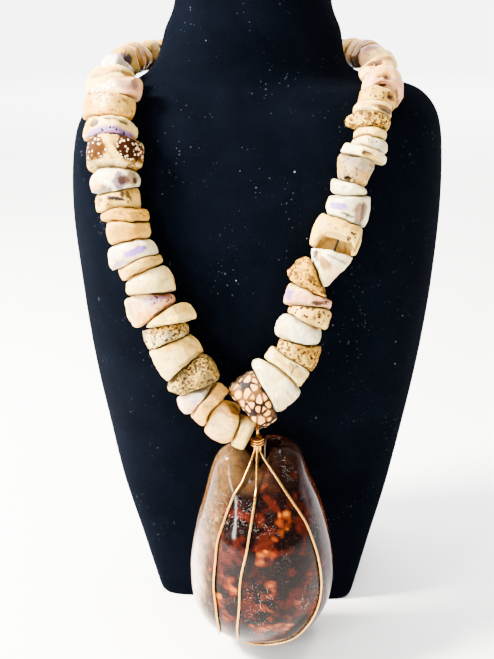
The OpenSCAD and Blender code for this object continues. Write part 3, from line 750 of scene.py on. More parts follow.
def beadGrid(row, ends, seed, turns, rows, notch):
    # a ring of points at each step of the wall: out from the cord by its share of the rim, and
    # along the cord between the two leaning, worn faces
    (run0, tilt0, bow0), (run1, tilt1, bow1) = ends
    p0, p1 = onRoute(run0), onRoute(run1)
    mid, cord = (p0 + p1) / 2, unit(p1 - p0)
    face0, face1 = faceLooks(run0, *tilt0), faceLooks(run1, *tilt1)
    axis = unit(face0 + face1)
    out = awayFromBust(mid)
    frontWay = unit(out - axis * (out @ axis))
    outerWay = np.cross(axis, frontWay)
    turn = 2 * np.pi * (np.arange(turns) + 0.5) / turns
    ring = outerWay * np.cos(turn)[:, None] + frontWay * np.sin(turn)[:, None]
    reachShare, lengthShare = wallShares(row[8], rows, turn, notch)
    reach = blendTo(string["bore"] / 2, rimReach(row, turn, seed)[None], reachShare)
    along = unit(blendTo(cord, axis, reachShare))
    q = mid + reach[..., None] * ring[None]
    along = along[:, None]
    near = (((p0 - q) @ face0) + string["beadGap"] / 2) / (along @ face0)
    far = (((p1 - q) @ face1) - string["beadGap"] / 2) / (along @ face1)
    near = near + wornFace(q + along * near[..., None] - p0, face0, frontWay, bow0)
    far = far + wornFace(q + along * far[..., None] - p1, face1, frontWay, bow1)
    grid = q + along * blendTo(near, far, lengthShare)[..., None]
    facing = np.array(string["viewerWay"])
    ringTurn = np.degrees(turn - math.atan2(frontWay @ facing, outerWay @ facing))[None] + 90
    ways = (mid, axis, outerWay, frontWay)
    return grid, reachShare + 0 * turn[None], lengthShare, ringTurn + 0 * lengthShare, far - near, ways


def wornFlats(grid, ways, count, deep, seed):
    # each flat is a plane that faces out; what stands past it is pressed back to it softly
    mid, axis, outerWay, frontWay = ways
    steps = np.arange(count * 3)
    luck = chance(np.stack([steps, 0 * steps, 0 * steps + seed], -1), 91)
    for a, b, c in luck.reshape(-1, 3):
        turn, lean = 2 * np.pi * a, math.radians(wear["flatLean"]) * (2 * b - 1)
        outward = outerWay * math.cos(turn) + frontWay * math.sin(turn)
        way = outward * math.cos(lean) + axis * math.sin(lean)
        over = (grid - mid) @ way
        over = over - over.max() * (1 - deep * (0.35 + c))
        grid = grid - way * (0.5 * (over + np.sqrt(over**2 + 0.03)))[..., None]
    return grid


# Beads: tones by name, and one row of wishes for each bead that shows
tones = {
    "cream": "#e2ba55",
    "ivory": "#e8cf85",
    "white": "#e9dfba",
    "bone": "#cda852",
    "peach": "#e49c3f",
    "pink": "#db9a76",
    "orange": "#4c2509",
    "tan": "#c48c16",
    "ochre": "#6a3f08",
    "lilac": "#7e54ab",
    "mauve": "#4a2c47",
    "plum": "#231a2b",
    "rust": "#3a1f02",
    "brown": "#260f04",
    "umber": "#150903",
    "grey": "#8b7e5f",
    "olive": "#69582c",
    "sand": "#b0801e",
}
# how dark a freckle of each tone is, from the pale to the dark freckle of markTones
freckleDark = {"orange": 0.0, "tan": 0.15, "ochre": 0.3, "mauve": 0.6, "brown": 0.75, "umber": 1.0}
markTones = {
    "speck": "#6b3a16",
    "freckle": "#663410",
    "darkFreckle": "#1a0a04",
    "paleDot": "#ecd0a0",
    "line": "#180504",
    "blot": "#100303",
}
# the wear of every bead: sizes and depths in mm, and how dark the painted shade in low places, creases
# and seams gets
wear = {
    "lumpSize": 4.6,
    "grainSize": 1.4,
    "grainHigh": 0.13,
    "creasePatch": 6.5,
    "creaseDeep": 0.32,
    "pitPatch": 4.1,
    "broadSize": 6.0,
    "stainSize": 3.2,
    "bandLong": 0.9,
    "fineSize": 0.9,
    "fineShare": 0.09,
    "flatLean": 62,
    # a spot's wandering edge: the size in mm and the share of each wave
    "spotEdge": [(1.8, 0.20), (0.7, 0.10)],
    "lowShadeDark": 0.30,
    "seamShadeDark": 0.52,
    "creaseShadeDark": 0.75,
}
beadPlain = {
    "finish": "shell",
    "colours": ("cream", "ivory"),
    "broad": 0.6,
    # the shade tone and its share: painted shade in low places, creases and the seams between beads
    "shadeTone": "brown",
    "shadeShare": 1.0,
    "stain": "tan",
    "stains": 0.35,
    "flats": 5,
    "flatDeep": 0.10,
    "creases": 0.8,
    "creaseSize": 4.2,
    "lumps": 0.35,
    "ripple": 0.0,
    "rippleCount": 5,
    "pits": 0.0,
    "pitSize": 2.2,
    "pitShadeTone": "brown",
    "spots": [],
    "freckles": [],
    "dents": [],
    "notch": None,
    "gloss": 0.0,
}
# spots and freckles: turn, along, how far they spread in degrees and in length, tone, strength
# dents: the same four, then a depth in mm; a seventh number slants a spot or a dent, in degrees
beadWishes = {
    "l04": {
        "colours": ("cream", "ivory"),
        "spots": [
            (90, 0.4, 75, 0.08, "orange", 0.75), (60, 0.3, 60, 0.12, "peach", 0.7),
            (150, 0.5, 30, 0.5, "tan", 0.4),
        ],
        "dents": [(88, 0.48, 70, 0.07, 0.7)],
    },
    "l05": {
        "colours": ("pink", "ivory"), "gloss": 0.4, "lumps": 0.2,
        "spots": [
            (122, 0.4, 26, 0.35, "mauve", 0.6), (60, 0.4, 40, 0.5, "ivory", 0.6),
            (90, 0.05, 60, 0.2, "peach", 0.6),
        ],
    },
    "l06": {
        "colours": ("tan", "cream"), "lumps": 0.45,
        "spots": [(118, 0.5, 34, 0.45, "ochre", 0.35), (60, 0.3, 20, 0.3, "ivory", 0.6)],
        "freckles": [(90, 0.5, 80, 0.5, "tan", 0.5)],
    },
    "l07": {
        "colours": ("cream", "ivory"), "ripple": 0.12,
        "spots": [
            (95, 0.86, 75, 0.2, "lilac", 0.85), (120, 0.8, 12, 0.1, "plum", 0.5),
            (50, 0.4, 12, 0.18, "brown", 0.9), (96, 0.22, 20, 0.13, "ochre", 0.8),
            (128, 0.3, 14, 0.1, "brown", 0.6), (30, 0.6, 14, 0.3, "tan", 0.7),
        ],
        "freckles": [(110, 0.82, 40, 0.16, "umber", 0.7)],
        "dents": [(52, 0.38, 14, 0.2, 0.9), (96, 0.22, 18, 0.12, 0.8), (128, 0.3, 14, 0.1, 0.7)],
    },
    "l08": {
        "colours": ("tan", "cream"), "finish": "speckled", "lumps": 0.3, "flats": 4, "creases": 0.3,
        "stains": 0.2,
        "spots": [
            (48, 0.42, 44, 0.5, "rust", 1.0), (134, 0.42, 38, 0.56, "brown", 1.0),
            (165, 0.5, 16, 0.5, "orange", 0.8), (90, 0.45, 10, 0.9, "ochre", 0.7, 40),
            (96, 0.5, 7, 0.9, "cream", 0.9, 46), (80, 0.96, 62, 0.1, "ivory", 0.9),
        ],
        "dents": [(98, 0.5, 17, 0.9, -0.55, 0, 46), (72, 0.98, 40, 0.1, 0.8)],
    },
    "l09": {
        "colours": ("white", "ivory"), "gloss": 1.0, "lumps": 0.2, "flats": 2, "creases": 0.1,
        "stains": 0.1,
        "spots": [
            (56, 0.88, 38, 0.26, "rust", 0.9), (40, 0.66, 24, 0.2, "peach", 0.7),
            (108, 0.62, 20, 0.36, "mauve", 0.9), (112, 0.62, 9, 0.22, "brown", 0.9),
            (140, 0.6, 20, 0.36, "ochre", 0.8), (146, 0.7, 8, 0.2, "brown", 0.9),
        ],
    },
    "l10": {
        "colours": ("cream", "tan"), "stains": 0.5, "pits": 0.4, "pitSize": 3.0, "pitShadeTone": "ochre",
        "spots": [
            (72, 0.26, 7, 0.2, "brown", 0.95), (92, 0.48, 17, 0.2, "umber", 1.0, 50),
            (109, 0.24, 8, 0.2, "brown", 0.95), (124, 0.3, 8, 0.24, "brown", 0.9),
            (134, 0.52, 6, 0.16, "umber", 0.8), (42, 0.3, 14, 0.16, "orange", 0.7),
        ],
        "dents": [(92, 0.48, 14, 0.16, 0.6, 0, 50)],
    },
    "l11": {"colours": ("tan", "sand"), "lumps": 0.4, "ripple": 0.08},
    "l12": {"colours": ("tan", "cream"), "spots": [(90, 0.5, 70, 0.3, "ochre", 0.35)], "lumps": 0.25},
    "l13": {
        "colours": ("white", "ivory"), "gloss": 0.5, "lumps": 0.2,
        "spots": [(101, 0.62, 32, 0.22, "lilac", 1.0, -30), (40, 0.85, 25, 0.12, "lilac", 0.7)],
    },
    "l14": {
        "colours": ("cream", "peach"), "lumps": 0.3,
        "spots": [(110, 0.6, 60, 0.4, "orange", 0.35)],
    },
    "l15": {"colours": ("ivory", "cream"), "gloss": 0.5, "lumps": 0.2},
    "l16": {
        "colours": ("pink", "ivory"), "lumps": 0.6,
        "spots": [
            (50, 0.85, 34, 0.24, "peach", 0.9), (132, 0.3, 26, 0.26, "mauve", 0.65),
            (95, 0.3, 30, 0.3, "lilac", 0.5), (48, 0.75, 12, 0.2, "orange", 0.4),
        ],
        "freckles": [(125, 0.4, 40, 0.4, "brown", 0.6)],
    },
    "l17": {"colours": ("cream", "ivory"), "spots": [(60, 0.1, 50, 0.2, "tan", 0.6)], "lumps": 0.35},
    "l18": {
        "colours": ("grey", "cream"), "finish": "coral", "pits": 0.35, "pitSize": 2.2,
        "spots": [(60, 0.6, 40, 0.4, "ivory", 0.7), (90, 0.2, 50, 0.14, "tan", 0.8)],
    },
    "l19": {
        "colours": ("bone", "cream"), "lumps": 0.35, "shadeTone": "olive",
        "spots": [
            (60, 0.5, 60, 0.5, "ivory", 0.4), (120, 0.92, 40, 0.1, "olive", 0.8),
            (85, 0.1, 30, 0.12, "tan", 0.8),
        ],
    },
    "l20": {
        "colours": ("olive", "bone"), "finish": "coral", "pits": 0.7, "pitSize": 1.8, "lumps": 0.5,
        "pitShadeTone": "umber",
        "spots": [(20, 0.6, 40, 0.5, "bone", 0.7)],
    },
    "l21": {"colours": ("white", "pink"), "spots": [(90, 0.5, 40, 0.5, "lilac", 0.3)], "lumps": 0.3},
    "l22": {"colours": ("peach", "cream"), "spots": [(60, 0.8, 60, 0.4, "tan", 0.4)], "lumps": 0.35},
    "l23": {
        "colours": ("peach", "cream"), "lumps": 0.3, "gloss": 0.5,
        "spots": [(137, 0.7, 26, 0.35, "orange", 0.75), (60, 0.5, 40, 0.4, "ivory", 0.5)],
    },
    "l24": {"colours": ("cream", "ivory"), "spots": [(100, 0.2, 60, 0.3, "orange", 0.5)], "lumps": 0.3},
    "centre": {
        "colours": ("peach", "pink"), "finish": "tented", "lumps": 0.25, "flats": 3, "creases": 0.2,
        "shadeShare": 0.6,
        "spots": [(164, 0.5, 12, 0.8, "grey", 0.7)],
    },
    "r01": {
        "colours": ("white", "ivory"), "gloss": 0.4, "lumps": 0.45,
        "spots": [
            (30, 0.3, 30, 0.3, "tan", 0.35), (66, 0.15, 18, 0.08, "ochre", 0.6),
            (55, 0.64, 26, 0.06, "tan", 0.8),
        ],
    },
    "r02": {
        "colours": ("ivory", "cream"), "lumps": 0.45, "creases": 1.2,
        "spots": [
            (100, 0.5, 26, 0.14, "tan", 0.8, 30), (62, 0.34, 20, 0.14, "tan", 0.7),
            (40, 0.6, 20, 0.2, "ochre", 0.4),
        ],
    },
    "r03": {"colours": ("sand", "cream"), "finish": "coral", "pits": 0.55, "pitSize": 2.0},
    "r04": {"colours": ("white", "ivory"), "gloss": 0.5, "lumps": 0.3},
    "r05": {
        "colours": ("cream", "sand"), "pits": 0.9, "pitSize": 3.3, "pitShadeTone": "brown", "lumps": 0.5,
        "spots": [(150, 0.5, 40, 0.5, "tan", 0.4)],
        "freckles": [(90, 0.5, 90, 0.5, "brown", 0.7)],
    },
    "r06": {
        "colours": ("pink", "ivory"), "lumps": 0.5,
        "spots": [
            (152, 0.5, 20, 0.35, "lilac", 0.8), (70, 0.25, 22, 0.2, "brown", 0.7),
            (45, 0.6, 16, 0.14, "brown", 0.8),
        ],
        "freckles": [(64, 0.45, 30, 0.4, "brown", 0.9)],
        "dents": [(66, 0.4, 16, 0.2, 0.8)],
    },
    "r07": {"colours": ("tan", "sand"), "finish": "coral", "pits": 0.3, "pitSize": 1.4, "lumps": 0.5},
    "r08": {
        "colours": ("white", "ivory"), "lumps": 0.4,
        "spots": [
            (150, 0.5, 14, 0.3, "rust", 1.0), (134, 0.36, 12, 0.24, "orange", 0.8),
            (100, 0.42, 26, 0.2, "ochre", 0.9), (128, 0.6, 7, 0.3, "peach", 0.9, 30),
            (60, 0.35, 30, 0.3, "peach", 0.5), (84, 0.8, 34, 0.05, "orange", 0.8),
        ],
        "dents": [(152, 0.5, 9, 0.26, 1.2)],
    },
    "r09": {
        "colours": ("cream", "bone"), "notch": (108, 54, 0.55), "lumps": 0.3, "flats": 3,
        "creases": 0.3,
        "spots": [(40, 0.4, 6, 0.5, "brown", 0.5), (80, 0.9, 60, 0.12, "tan", 0.6)],
        "freckles": [
            (91, 0.72, 20, 0.13, "orange", 1.0), (128, 0.7, 12, 0.11, "orange", 1.0),
            (64, 0.56, 13, 0.2, "brown", 1.0),
        ],
        "dents": [(38, 0.4, 5, 0.5, 0.9)],
    },
    "r10": {
        "colours": ("white", "ivory"), "lumps": 0.3, "flats": 4,
        "spots": [
            (118, 0.52, 28, 0.2, "lilac", 0.95), (56, 0.4, 20, 0.5, "ochre", 0.85),
            (48, 0.35, 6, 0.5, "brown", 0.7, 20), (84, 0.5, 8, 0.6, "white", 0.9, 30),
            (86, 0.2, 18, 0.08, "umber", 0.8),
        ],
        "dents": [(86, 0.2, 18, 0.08, 1.0)],
    },
    "r11": {"colours": ("white", "ivory"), "gloss": 0.5, "lumps": 0.15},
    "r12": {
        "colours": ("grey", "bone"), "creases": 0.3,
        "spots": [
            (120, 0.5, 60, 0.5, "mauve", 0.35), (60, 0.3, 30, 0.3, "tan", 0.5),
            (116, 0.1, 18, 0.1, "umber", 1.0),
        ],
        "freckles": [(90, 0.5, 90, 0.6, "mauve", 0.45)],
        "dents": [(116, 0.08, 15, 0.1, 1.8)],
    },
    "r13": {
        "colours": ("ivory", "white"),
        "spots": [(80, 0.35, 16, 0.3, "brown", 0.9), (60, 0.2, 30, 0.2, "tan", 0.6)],
        "dents": [(80, 0.35, 14, 0.25, 0.7)],
    },
    "r14": {"colours": ("white", "cream"), "freckles": [(75, 0.6, 14, 0.25, "brown", 1.0)]},
    "r15": {"colours": ("cream", "tan"), "lumps": 0.3},
    "r16": {"colours": ("sand", "cream"), "finish": "coral", "pits": 0.5, "pitSize": 2.0},
    "r17": {
        "colours": ("cream", "ivory"),
        "spots": [
            (70, 0.45, 50, 0.14, "orange", 0.9), (58, 0.2, 26, 0.16, "plum", 0.7),
            (120, 0.6, 30, 0.2, "peach", 0.7),
        ],
        "dents": [(66, 0.28, 40, 0.1, 0.8)],
    },
    "r18": {
        "colours": ("tan", "cream"),
        "spots": [(60, 0.5, 11, 0.2, "umber", 0.95), (60, 0.5, 22, 0.34, "orange", 0.5)],
        "freckles": [(90, 0.5, 70, 0.4, "ochre", 0.6)],
        "dents": [(60, 0.5, 10, 0.18, 1.1)],
    },
    "l00": {"colours": ("peach", "cream")},
    "l01": {
        "colours": ("peach", "tan"), "ripple": 0.15,
        "spots": [(90, 0.35, 90, 0.05, "umber", 0.8), (90, 0.6, 90, 0.05, "umber", 0.7)],
    },
    "l02": {
        "colours": ("sand", "cream"),
        "spots": [
            (90, 0.1, 60, 0.2, "pink", 0.9), (110, 0.75, 30, 0.25, "plum", 0.95),
            (40, 0.9, 60, 0.15, "lilac", 0.8),
        ],
    },
    "l03": {"colours": ("white", "lilac"), "spots": [(120, 0.3, 30, 0.3, "grey", 0.5)], "gloss": 0.4},
    "r19": {
        "colours": ("pink", "ivory"), "notch": (90, 60, 0.35),
        "spots": [
            (84, 0.5, 30, 0.07, "umber", 0.9), (84, 0.62, 36, 0.08, "peach", 0.9),
            (110, 0.8, 30, 0.12, "tan", 0.6),
        ],
        "dents": [(84, 0.5, 28, 0.07, 1.5)],
    },
    "r20": {
        "colours": ("peach", "ivory"), "notch": (90, 50, 0.25),
        "spots": [
            (100, 0.58, 70, 0.1, "orange", 0.9), (112, 0.42, 30, 0.07, "brown", 0.95),
            (80, 0.85, 40, 0.1, "tan", 0.6),
        ],
        "dents": [(112, 0.42, 28, 0.06, 1.2), (60, 0.7, 40, 0.06, 0.8)],
    },
    "r21": {"colours": ("ivory", "cream")},
    "r22": {"colours": ("pink", "cream"), "spots": [(90, 0.5, 25, 0.3, "plum", 0.6)]},
    "r23": {"colours": ("tan", "pink"), "spots": [(90, 0.3, 90, 0.12, "brown", 0.6)]},
}
plainTones = ["cream", "ivory", "tan", "pink", "bone", "peach", "white", "sand"]


def spotShare(turn, along, spot, seed, grid):
    # a soft patch: 1 at its middle, with a wandering edge; a seventh number slants it
    at, length, wide, long = spot[:4]
    slant = spot[6] if len(spot) > 6 else 0
    gap = apart(turn - at - slant * (along - length)) / wide
    d = np.hypot(gap, (along - length) / long)
    for k, (size, strength) in enumerate(wear["spotEdge"]):
        d = d + strength * softNoise(grid / size, seed + k)
    return 1 - smoothStep(0.80, 1.08, d)


def beadRelief(wish, local, turn, along, seed):
    # how far the skin stands out: lumps and grain, less its creases, pits and dents
    height = wish["lumps"] * (layeredNoise(local / wear["lumpSize"], seed, 2) - 0.45)
    height = height + wear["grainHigh"] * layeredNoise(local / wear["grainSize"], seed + 5, 2)
    crease = smoothStep(0.90, 1.0, 1 - np.abs(layeredNoise(local / wish["creaseSize"], seed + 15, 2)))
    patch = smoothStep(-0.35, 0.25, softNoise(local / wear["creasePatch"], seed + 16))
    crease = crease * patch * wish["creases"]
    height = height - wear["creaseDeep"] * crease
    if wish["ripple"]:
        bend = softNoise(local / 6, seed + 3)
        height = height + wish["ripple"] * np.sin(2 * np.pi * (along * wish["rippleCount"] + bend))
    pits, dents = 0 * height, 0 * height
    if wish["pits"]:
        first, _ = nearestDots(local / wish["pitSize"], seed + 9)
        depth = 0.5 + 0.5 * softNoise(local / wear["pitPatch"], seed + 12)
        pits = (1 - smoothStep(0.20, 0.36, first)) * smoothStep(0.25, 0.55, depth)
        height = height - wish["pits"] * pits
    for k, dent in enumerate(wish["dents"]):
        share = spotShare(turn, along, dent, seed + 40 + k, local)
        height = height - dent[4] * share
        dents = np.maximum(dents, share * (dent[4] > 0))
    # the last share is where pits and dents get their painted shade
    return height, crease, np.maximum(pits * 0.8, dents * 0.6)


def laidOver(paint, tone, share):
    return blendTo(paint, tone, share[..., None])


def beadPaint(wish, local, turn, along, thick, relief, seed):
    # two tones in broad clouds, then stains, painted shade in pits and dents, and spots, and painted
    # shade in low places, creases and seams last
    height, crease, hollow = relief
    tone = {key: linearTone(code) for key, code in tones.items()}
    ground, cloud = (tone[name] for name in wish["colours"])
    broad = smoothStep(-0.35, 0.40, layeredNoise(local / wear["broadSize"], seed + 21, 3))
    paint = laidOver(ground, cloud, broad * wish["broad"])
    where = np.stack([along * thick / wear["bandLong"], turn / 60.0, 0 * turn + seed], -1)
    band = softNoise(where, seed + 23)
    stain = layeredNoise(local / wear["stainSize"], seed + 25, 3) + 0.25 * band
    paint = laidOver(paint, tone[wish["stain"]], smoothStep(0.05, 0.55, stain) * wish["stains"])
    # painted shade: pits and dents are darkened with the pit tone
    paint = laidOver(paint * (1 + 0.07 * band)[..., None], tone[wish["pitShadeTone"]], hollow)
    for k, spot in enumerate(wish["spots"]):
        share = spotShare(turn, along, spot, seed + 60 + k, local) * spot[5]
        paint = laidOver(paint, tone[spot[4]], share)
    # painted shade: low places, the seams where the bead meets its neighbours, and the creases are
    # darkened with the shade tone
    low = smoothStep(0.10, 0.75, -height / (0.35 + wish["lumps"])) * wear["lowShadeDark"]
    edge = np.minimum(along, 1 - along) * np.abs(thick)
    seam = 1 - smoothStep(0.05, 0.85 + 0.5 * softNoise(local / 2.5, seed + 27), edge)
    dark = np.maximum(np.maximum(low, seam * wear["seamShadeDark"]), crease * wear["creaseShadeDark"])
    return laidOver(paint, tone[wish["shadeTone"]], dark * wish["shadeShare"])


def freckleMasks(wish, local, turn, along, seed):
    # where the small dots of the finish show, and how dark they are there
    dotted, dotDark = 0 * turn, 0 * turn
    for k, freckle in enumerate(wish["freckles"]):
        share = spotShare(turn, along, freckle, seed + 80 + k, local) * freckle[5]
        dotDark = np.where(share > dotted, freckleDark[freckle[4]], dotDark)
        dotted = np.maximum(dotted, share)
    return dotted, dotDark


def beadSurface(row, ends, seed, turns, rows, wish):
    grid, reach, along, turn, thick, ways = beadGrid(row, ends, seed, turns, rows, wish["notch"])
    grid = wornFlats(grid, ways, wish["flats"], wish["flatDeep"], seed)
    local = grid + seed * 37.0
    relief = beadRelief(wish, local, turn, along, seed)
    skin = smoothStep(0.15, 0.6, reach)  # the bore stays smooth
    grid = grid + gridNormals(grid, True, True) * (relief[0] * skin)[..., None]
    paint = beadPaint(wish, local, turn, along, thick, relief, seed)
    dotted, dotDark = freckleMasks(wish, local, turn, along, seed)
    fine = 1 + wear["fineShare"] * softNoise(local / wear["fineSize"], seed + 31)
    fleck = smoothStep(0.42, 0.25, paint[..., 0])
    return grid, paint * fine[..., None], {"fleck": fleck, "dotted": dotted, "dotDark": dotDark}


def shellLook():
    look = Look("wornShell")
    gloss = look.attribute("gloss", "Fac")
    grain = look.noise(520.0, 4.0, 0.6)
    veins = look.noise(190.0, 4.0, 0.6, 1.4)
    specks = look.ramp(look.dots(760.0) + look.noise(170.0, 2.0) * 0.9, 0.56, 0.46)
    tone = look.tint(look.ramp(veins, 0.50, 0.66) * 0.40, look.attribute("paint"), (0.88, 0.68, 0.42))
    tone = look.tint(look.ramp(grain, 0.40, 0.62) * 0.22, tone, (0.90, 0.78, 0.62))
    tone = look.mix(specks * 0.5, tone, linearTone(markTones["speck"]))
    dotted = look.ramp(look.attribute("dotted", "Fac"), 0.25, 0.6)
    dots = look.ramp(look.dots(500.0) + look.noise(700.0, 1.0) * 0.25, 0.50, 0.40) * dotted
    pale, dark = linearTone(markTones["freckle"]), linearTone(markTones["darkFreckle"])
    tone = look.mix(dots, tone, look.mix(look.attribute("dotDark", "Fac"), pale, dark))
    pores = look.ramp(look.dots(950.0), 0.0, 0.35)
    height = grain * 0.7 + pores * 0.25 - specks * 0.8 + veins * 0.5 - dots
    return look.finish(
        Base_Color=tone,
        Roughness=look.ramp(grain + veins * 0.4, 0.4, 0.9, 0.34, 0.58) - gloss * 0.14,
        Subsurface_Weight=0.10,
        Subsurface_Radius=(1.0, 0.55, 0.3),
        Subsurface_Scale=0.0012,
        Specular_IOR_Level=0.16,
        Coat_Weight=gloss * 0.6 + 0.03,
        Coat_Roughness=0.14,
        Normal=look.bump(height, 0.45, 0.0005),
    )


def coralLook():
    look = Look("pittedCoral")
    paint = look.attribute("paint")
    wobble = look.noise(300.0, 3.0, 0.6)
    patch = look.ramp(look.noise(120.0, 1.0), 0.38, 0.56)
    deep = look.ramp(look.noise(620.0, 2.0, 0.6), 0.50, 0.42) * (patch * 0.7 + 0.3)
    holes = look.ramp(look.dots(520.0) + wobble * 0.5, 0.62, 0.50)
    small = look.ramp(look.dots(1050.0) + wobble * 0.3, 0.50, 0.38)
    holeDepthAndShade = look.ramp(deep * 0.8 + holes, 0.0, 1.0)
    # painted shade: the small and the deep holes, which are only bumps, are darkened
    tone = look.tint(small * 0.5, paint, (0.42, 0.28, 0.16))
    tone = look.mix(holeDepthAndShade * 0.95, tone, look.tint(1.0, paint, (0.13, 0.065, 0.03)))
    tone = look.tint(look.ramp(wobble, 0.55, 0.75) * 0.5, tone, (1.35, 1.30, 1.20))
    return look.finish(
        Base_Color=tone,
        Specular_IOR_Level=0.08,
        Roughness=look.ramp(wobble, 0.3, 0.7, 0.62, 0.85),
        Normal=look.bump(0 - holeDepthAndShade - small * 0.45, 1.0, 0.0010),
    )


def speckledLook():
    look = Look("speckledShell")
    wobble = look.noise(900.0, 2.0)
    pale = look.ramp(look.dots(640.0) + wobble * 0.30, 0.50, 0.40)
    patch = look.ramp(look.noise(150.0, 1.0), 0.56, 0.64)
    blots = look.ramp(look.dots(430.0) + wobble * 0.5, 0.58, 0.50) * patch
    marks = look.ramp(pale + blots, 0.0, 1.0) * look.attribute("fleck", "Fac")
    tone = look.tint(look.ramp(wobble, 0.35, 0.65) * 0.4, look.attribute("paint"), (0.62, 0.42, 0.30))
    return look.finish(
        Base_Color=look.mix(marks * 0.92, tone, linearTone(markTones["paleDot"])),
        Roughness=look.ramp(wobble, 0.3, 0.7, 0.30, 0.48),
        Specular_IOR_Level=0.02,
        Normal=look.bump(marks * 0.6 + wobble * 0.3, 0.5, 0.0005),
    )


def tentedLook():
    look = Look("tentedShell")
    where = look.drawnOut((1.0, 1.0, 0.8), (0.2, 0.3, 0.5))
    wobble = look.noise(600.0, 2.0)
    lines = look.ramp(look.dots(300.0, "DISTANCE_TO_EDGE", where) + wobble * 0.10, 0.24, 0.15)
    patch = look.ramp(look.noise(150.0, 2.0, 0.5), 0.42, 0.54)
    blots = look.ramp(look.dots(300.0, "F1", where) + wobble * 0.2, 0.56, 0.64)
    tone = look.attribute("paint")
    tone = look.mix(lines * (0.86 + patch * 0.14), tone, linearTone(markTones["line"]))
    tone = look.mix(blots * (patch * 0.8 + 0.2), tone, linearTone(markTones["blot"]))
    return look.finish(
        Base_Color=tone,
        Roughness=look.ramp(wobble, 0.3, 0.7, 0.34, 0.5),
        Specular_IOR_Level=0.06,
        Normal=look.bump(wobble, 0.25, 0.0003),
    )


beadFinishes = {
    "shell": shellLook(),
    "coral": coralLook(),
    "speckled": speckledLook(),
    "tented": tentedLook(),
}
beadDetail = {"turns": 136, "rows": 60, "plainTurns": 60, "plainRows": 32}


def cutsOfString(st):
    left = np.array([row[1] for row in st["left"]]) * st["beadLong"]
    right = np.array([row[1] for row in st["right"]]) * st["beadLong"]
    leftEnd = pivotRun - st["wire"] / 2 - 3 * st["clear"]
    rightStart = pivotRun + 2 * (st["bailLoop"] + st["wire"]) + st["clear"]
    leftCuts = leftEnd - np.concatenate([np.cumsum(left[::-1])[::-1], [0]])
    rightCuts = rightStart + np.concatenate([[0], np.cumsum(right)])
    return leftCuts, rightCuts


leftCuts, rightCuts = cutsOfString(string)


def stringBeads(st):
    # every bead as name, row and its two ends; an end is a station, a tilt and a worn face's
    # seed and depth, which the neighbours share
    found = []

    def bows(cuts, seed, first, last):
        long = np.diff(cuts)
        shorter = np.minimum(np.r_[long[0], long], np.r_[long, long[-1]])
        deep = st["bow"] * np.minimum(1, shorter / 7.0)
        deep[0], deep[-1] = deep[0] * first, deep[-1] * last
        return [(seed + k, d) for k, d in enumerate(deep)]

    for rows, cuts, first, seed, fade in (
        (st["left"], leftCuts, (0, 0), 100, (0.6, 0)),
        (st["right"], rightCuts, st["bailSide"], 200, (0, 0.6)),
    ):
        bow = bows(cuts, seed, *fade)
        for i, row in enumerate(rows):
            before = rows[i - 1][2:4] if i else first
            ends = (cuts[i], before, bow[i]), (cuts[i + 1], row[2:4], bow[i + 1])
            found.append((row[0], row, ends))
    sides = ((st["claspLong"] / 2, leftCuts[0]), (rightCuts[-1], routeLength - st["claspLong"] / 2))
    for side, (start, end) in enumerate(sides):
        count = int((end - start) // st["plainLong"])
        cuts = np.linspace(start, end, count + 1)
        bow = bows(cuts, 300 + 100 * side, 0, 0)
        for i in range(count):
            ends = (cuts[i], (0, 0), bow[i]), (cuts[i + 1], (0, 0), bow[i + 1])
            found.append((f"plain{side}{i}", st["plain"], ends))
    return found


ownNames = [row[0] for row in string["left"][string["ownFromLeft"] :]]
ownNames += [row[0] for row in string["right"][: string["ownToRight"] + 1]]
neckHeap = Heap()
for k, (name, row, ends) in enumerate(stringBeads(string)):
    wish = dict(beadPlain)
    if name.startswith("plain"):
        wish.update(colours=(plainTones[(3 * k) % 8], plainTones[(5 * k + 2) % 8]))
    wish.update(beadWishes.get(name, {}))
    own = name in ownNames
    turns = beadDetail["turns" if own else "plainTurns"]
    rows = beadDetail["rows" if own else "plainRows"]
    grid, paint, masks = beadSurface(row, ends, k + 3, turns, rows, wish)
    faces = gridFaces(grid.shape[0], turns, True, True)
    flat, tint = grid.reshape(-1, 3), paint.reshape(-1, 3)
    if own:
        node = "bead_" + name
        extras = {key: mask.ravel() for key, mask in masks.items()}
        extras["gloss"] = 0 * extras["fleck"] + wish["gloss"]
        finish = beadFinishes[wish["finish"]]
        piece = putMesh(f"shell_{name}", flat, faces, finish, "stand", [node], tint, extras)
    else:
        neckHeap.add(flat, faces, tint)
points, faces, tint = neckHeap.whole()
finish = beadFinishes["shell"]
piece = putMesh("neck_string_beads", points, faces, finish, "stand", ["neck_beads"], tint)
print("beads are strung,", len(ownNames), "of their own and", len(points), "points behind the neck")


# Cord and clasp

cordWish = {
    "sides": 12,
    "steps": 420,
    "tone": "#0a0a0b",
    "twistTone": "#26241f",
    "strand": 0.06,
    "twistLong": 1.6,
}


def cordLook(c):
    look = Look("blackCord")
    twist = look.noise(1500.0, 2.0, 0.5, 0.4)
    tone = look.mix(look.ramp(twist, 0.4, 0.7), linearTone(c["tone"]), linearTone(c["twistTone"]))
    rough = look.ramp(twist, 0.3, 0.7, 0.45, 0.7)
    return look.finish(Base_Color=tone, Roughness=rough, Normal=look.bump(twist, 0.6, 0.0003))


def cordMesh(c, st):
    # a tube along the route whose radius swells by a small sine, once for each turn of its twist
    run = np.linspace(st["clear"], routeLength - st["clear"], c["steps"])
    swell = 1 + c["strand"] * np.sin(run * 2 * np.pi / c["twistLong"])
    return tubeMesh(onRoute(run), st["cord"] / 2 * swell, c["sides"])


points, faces = cordMesh(cordWish, string)
piece = putMesh("bead_cord", points, faces, cordLook(cordWish), "stand", ["thread"])

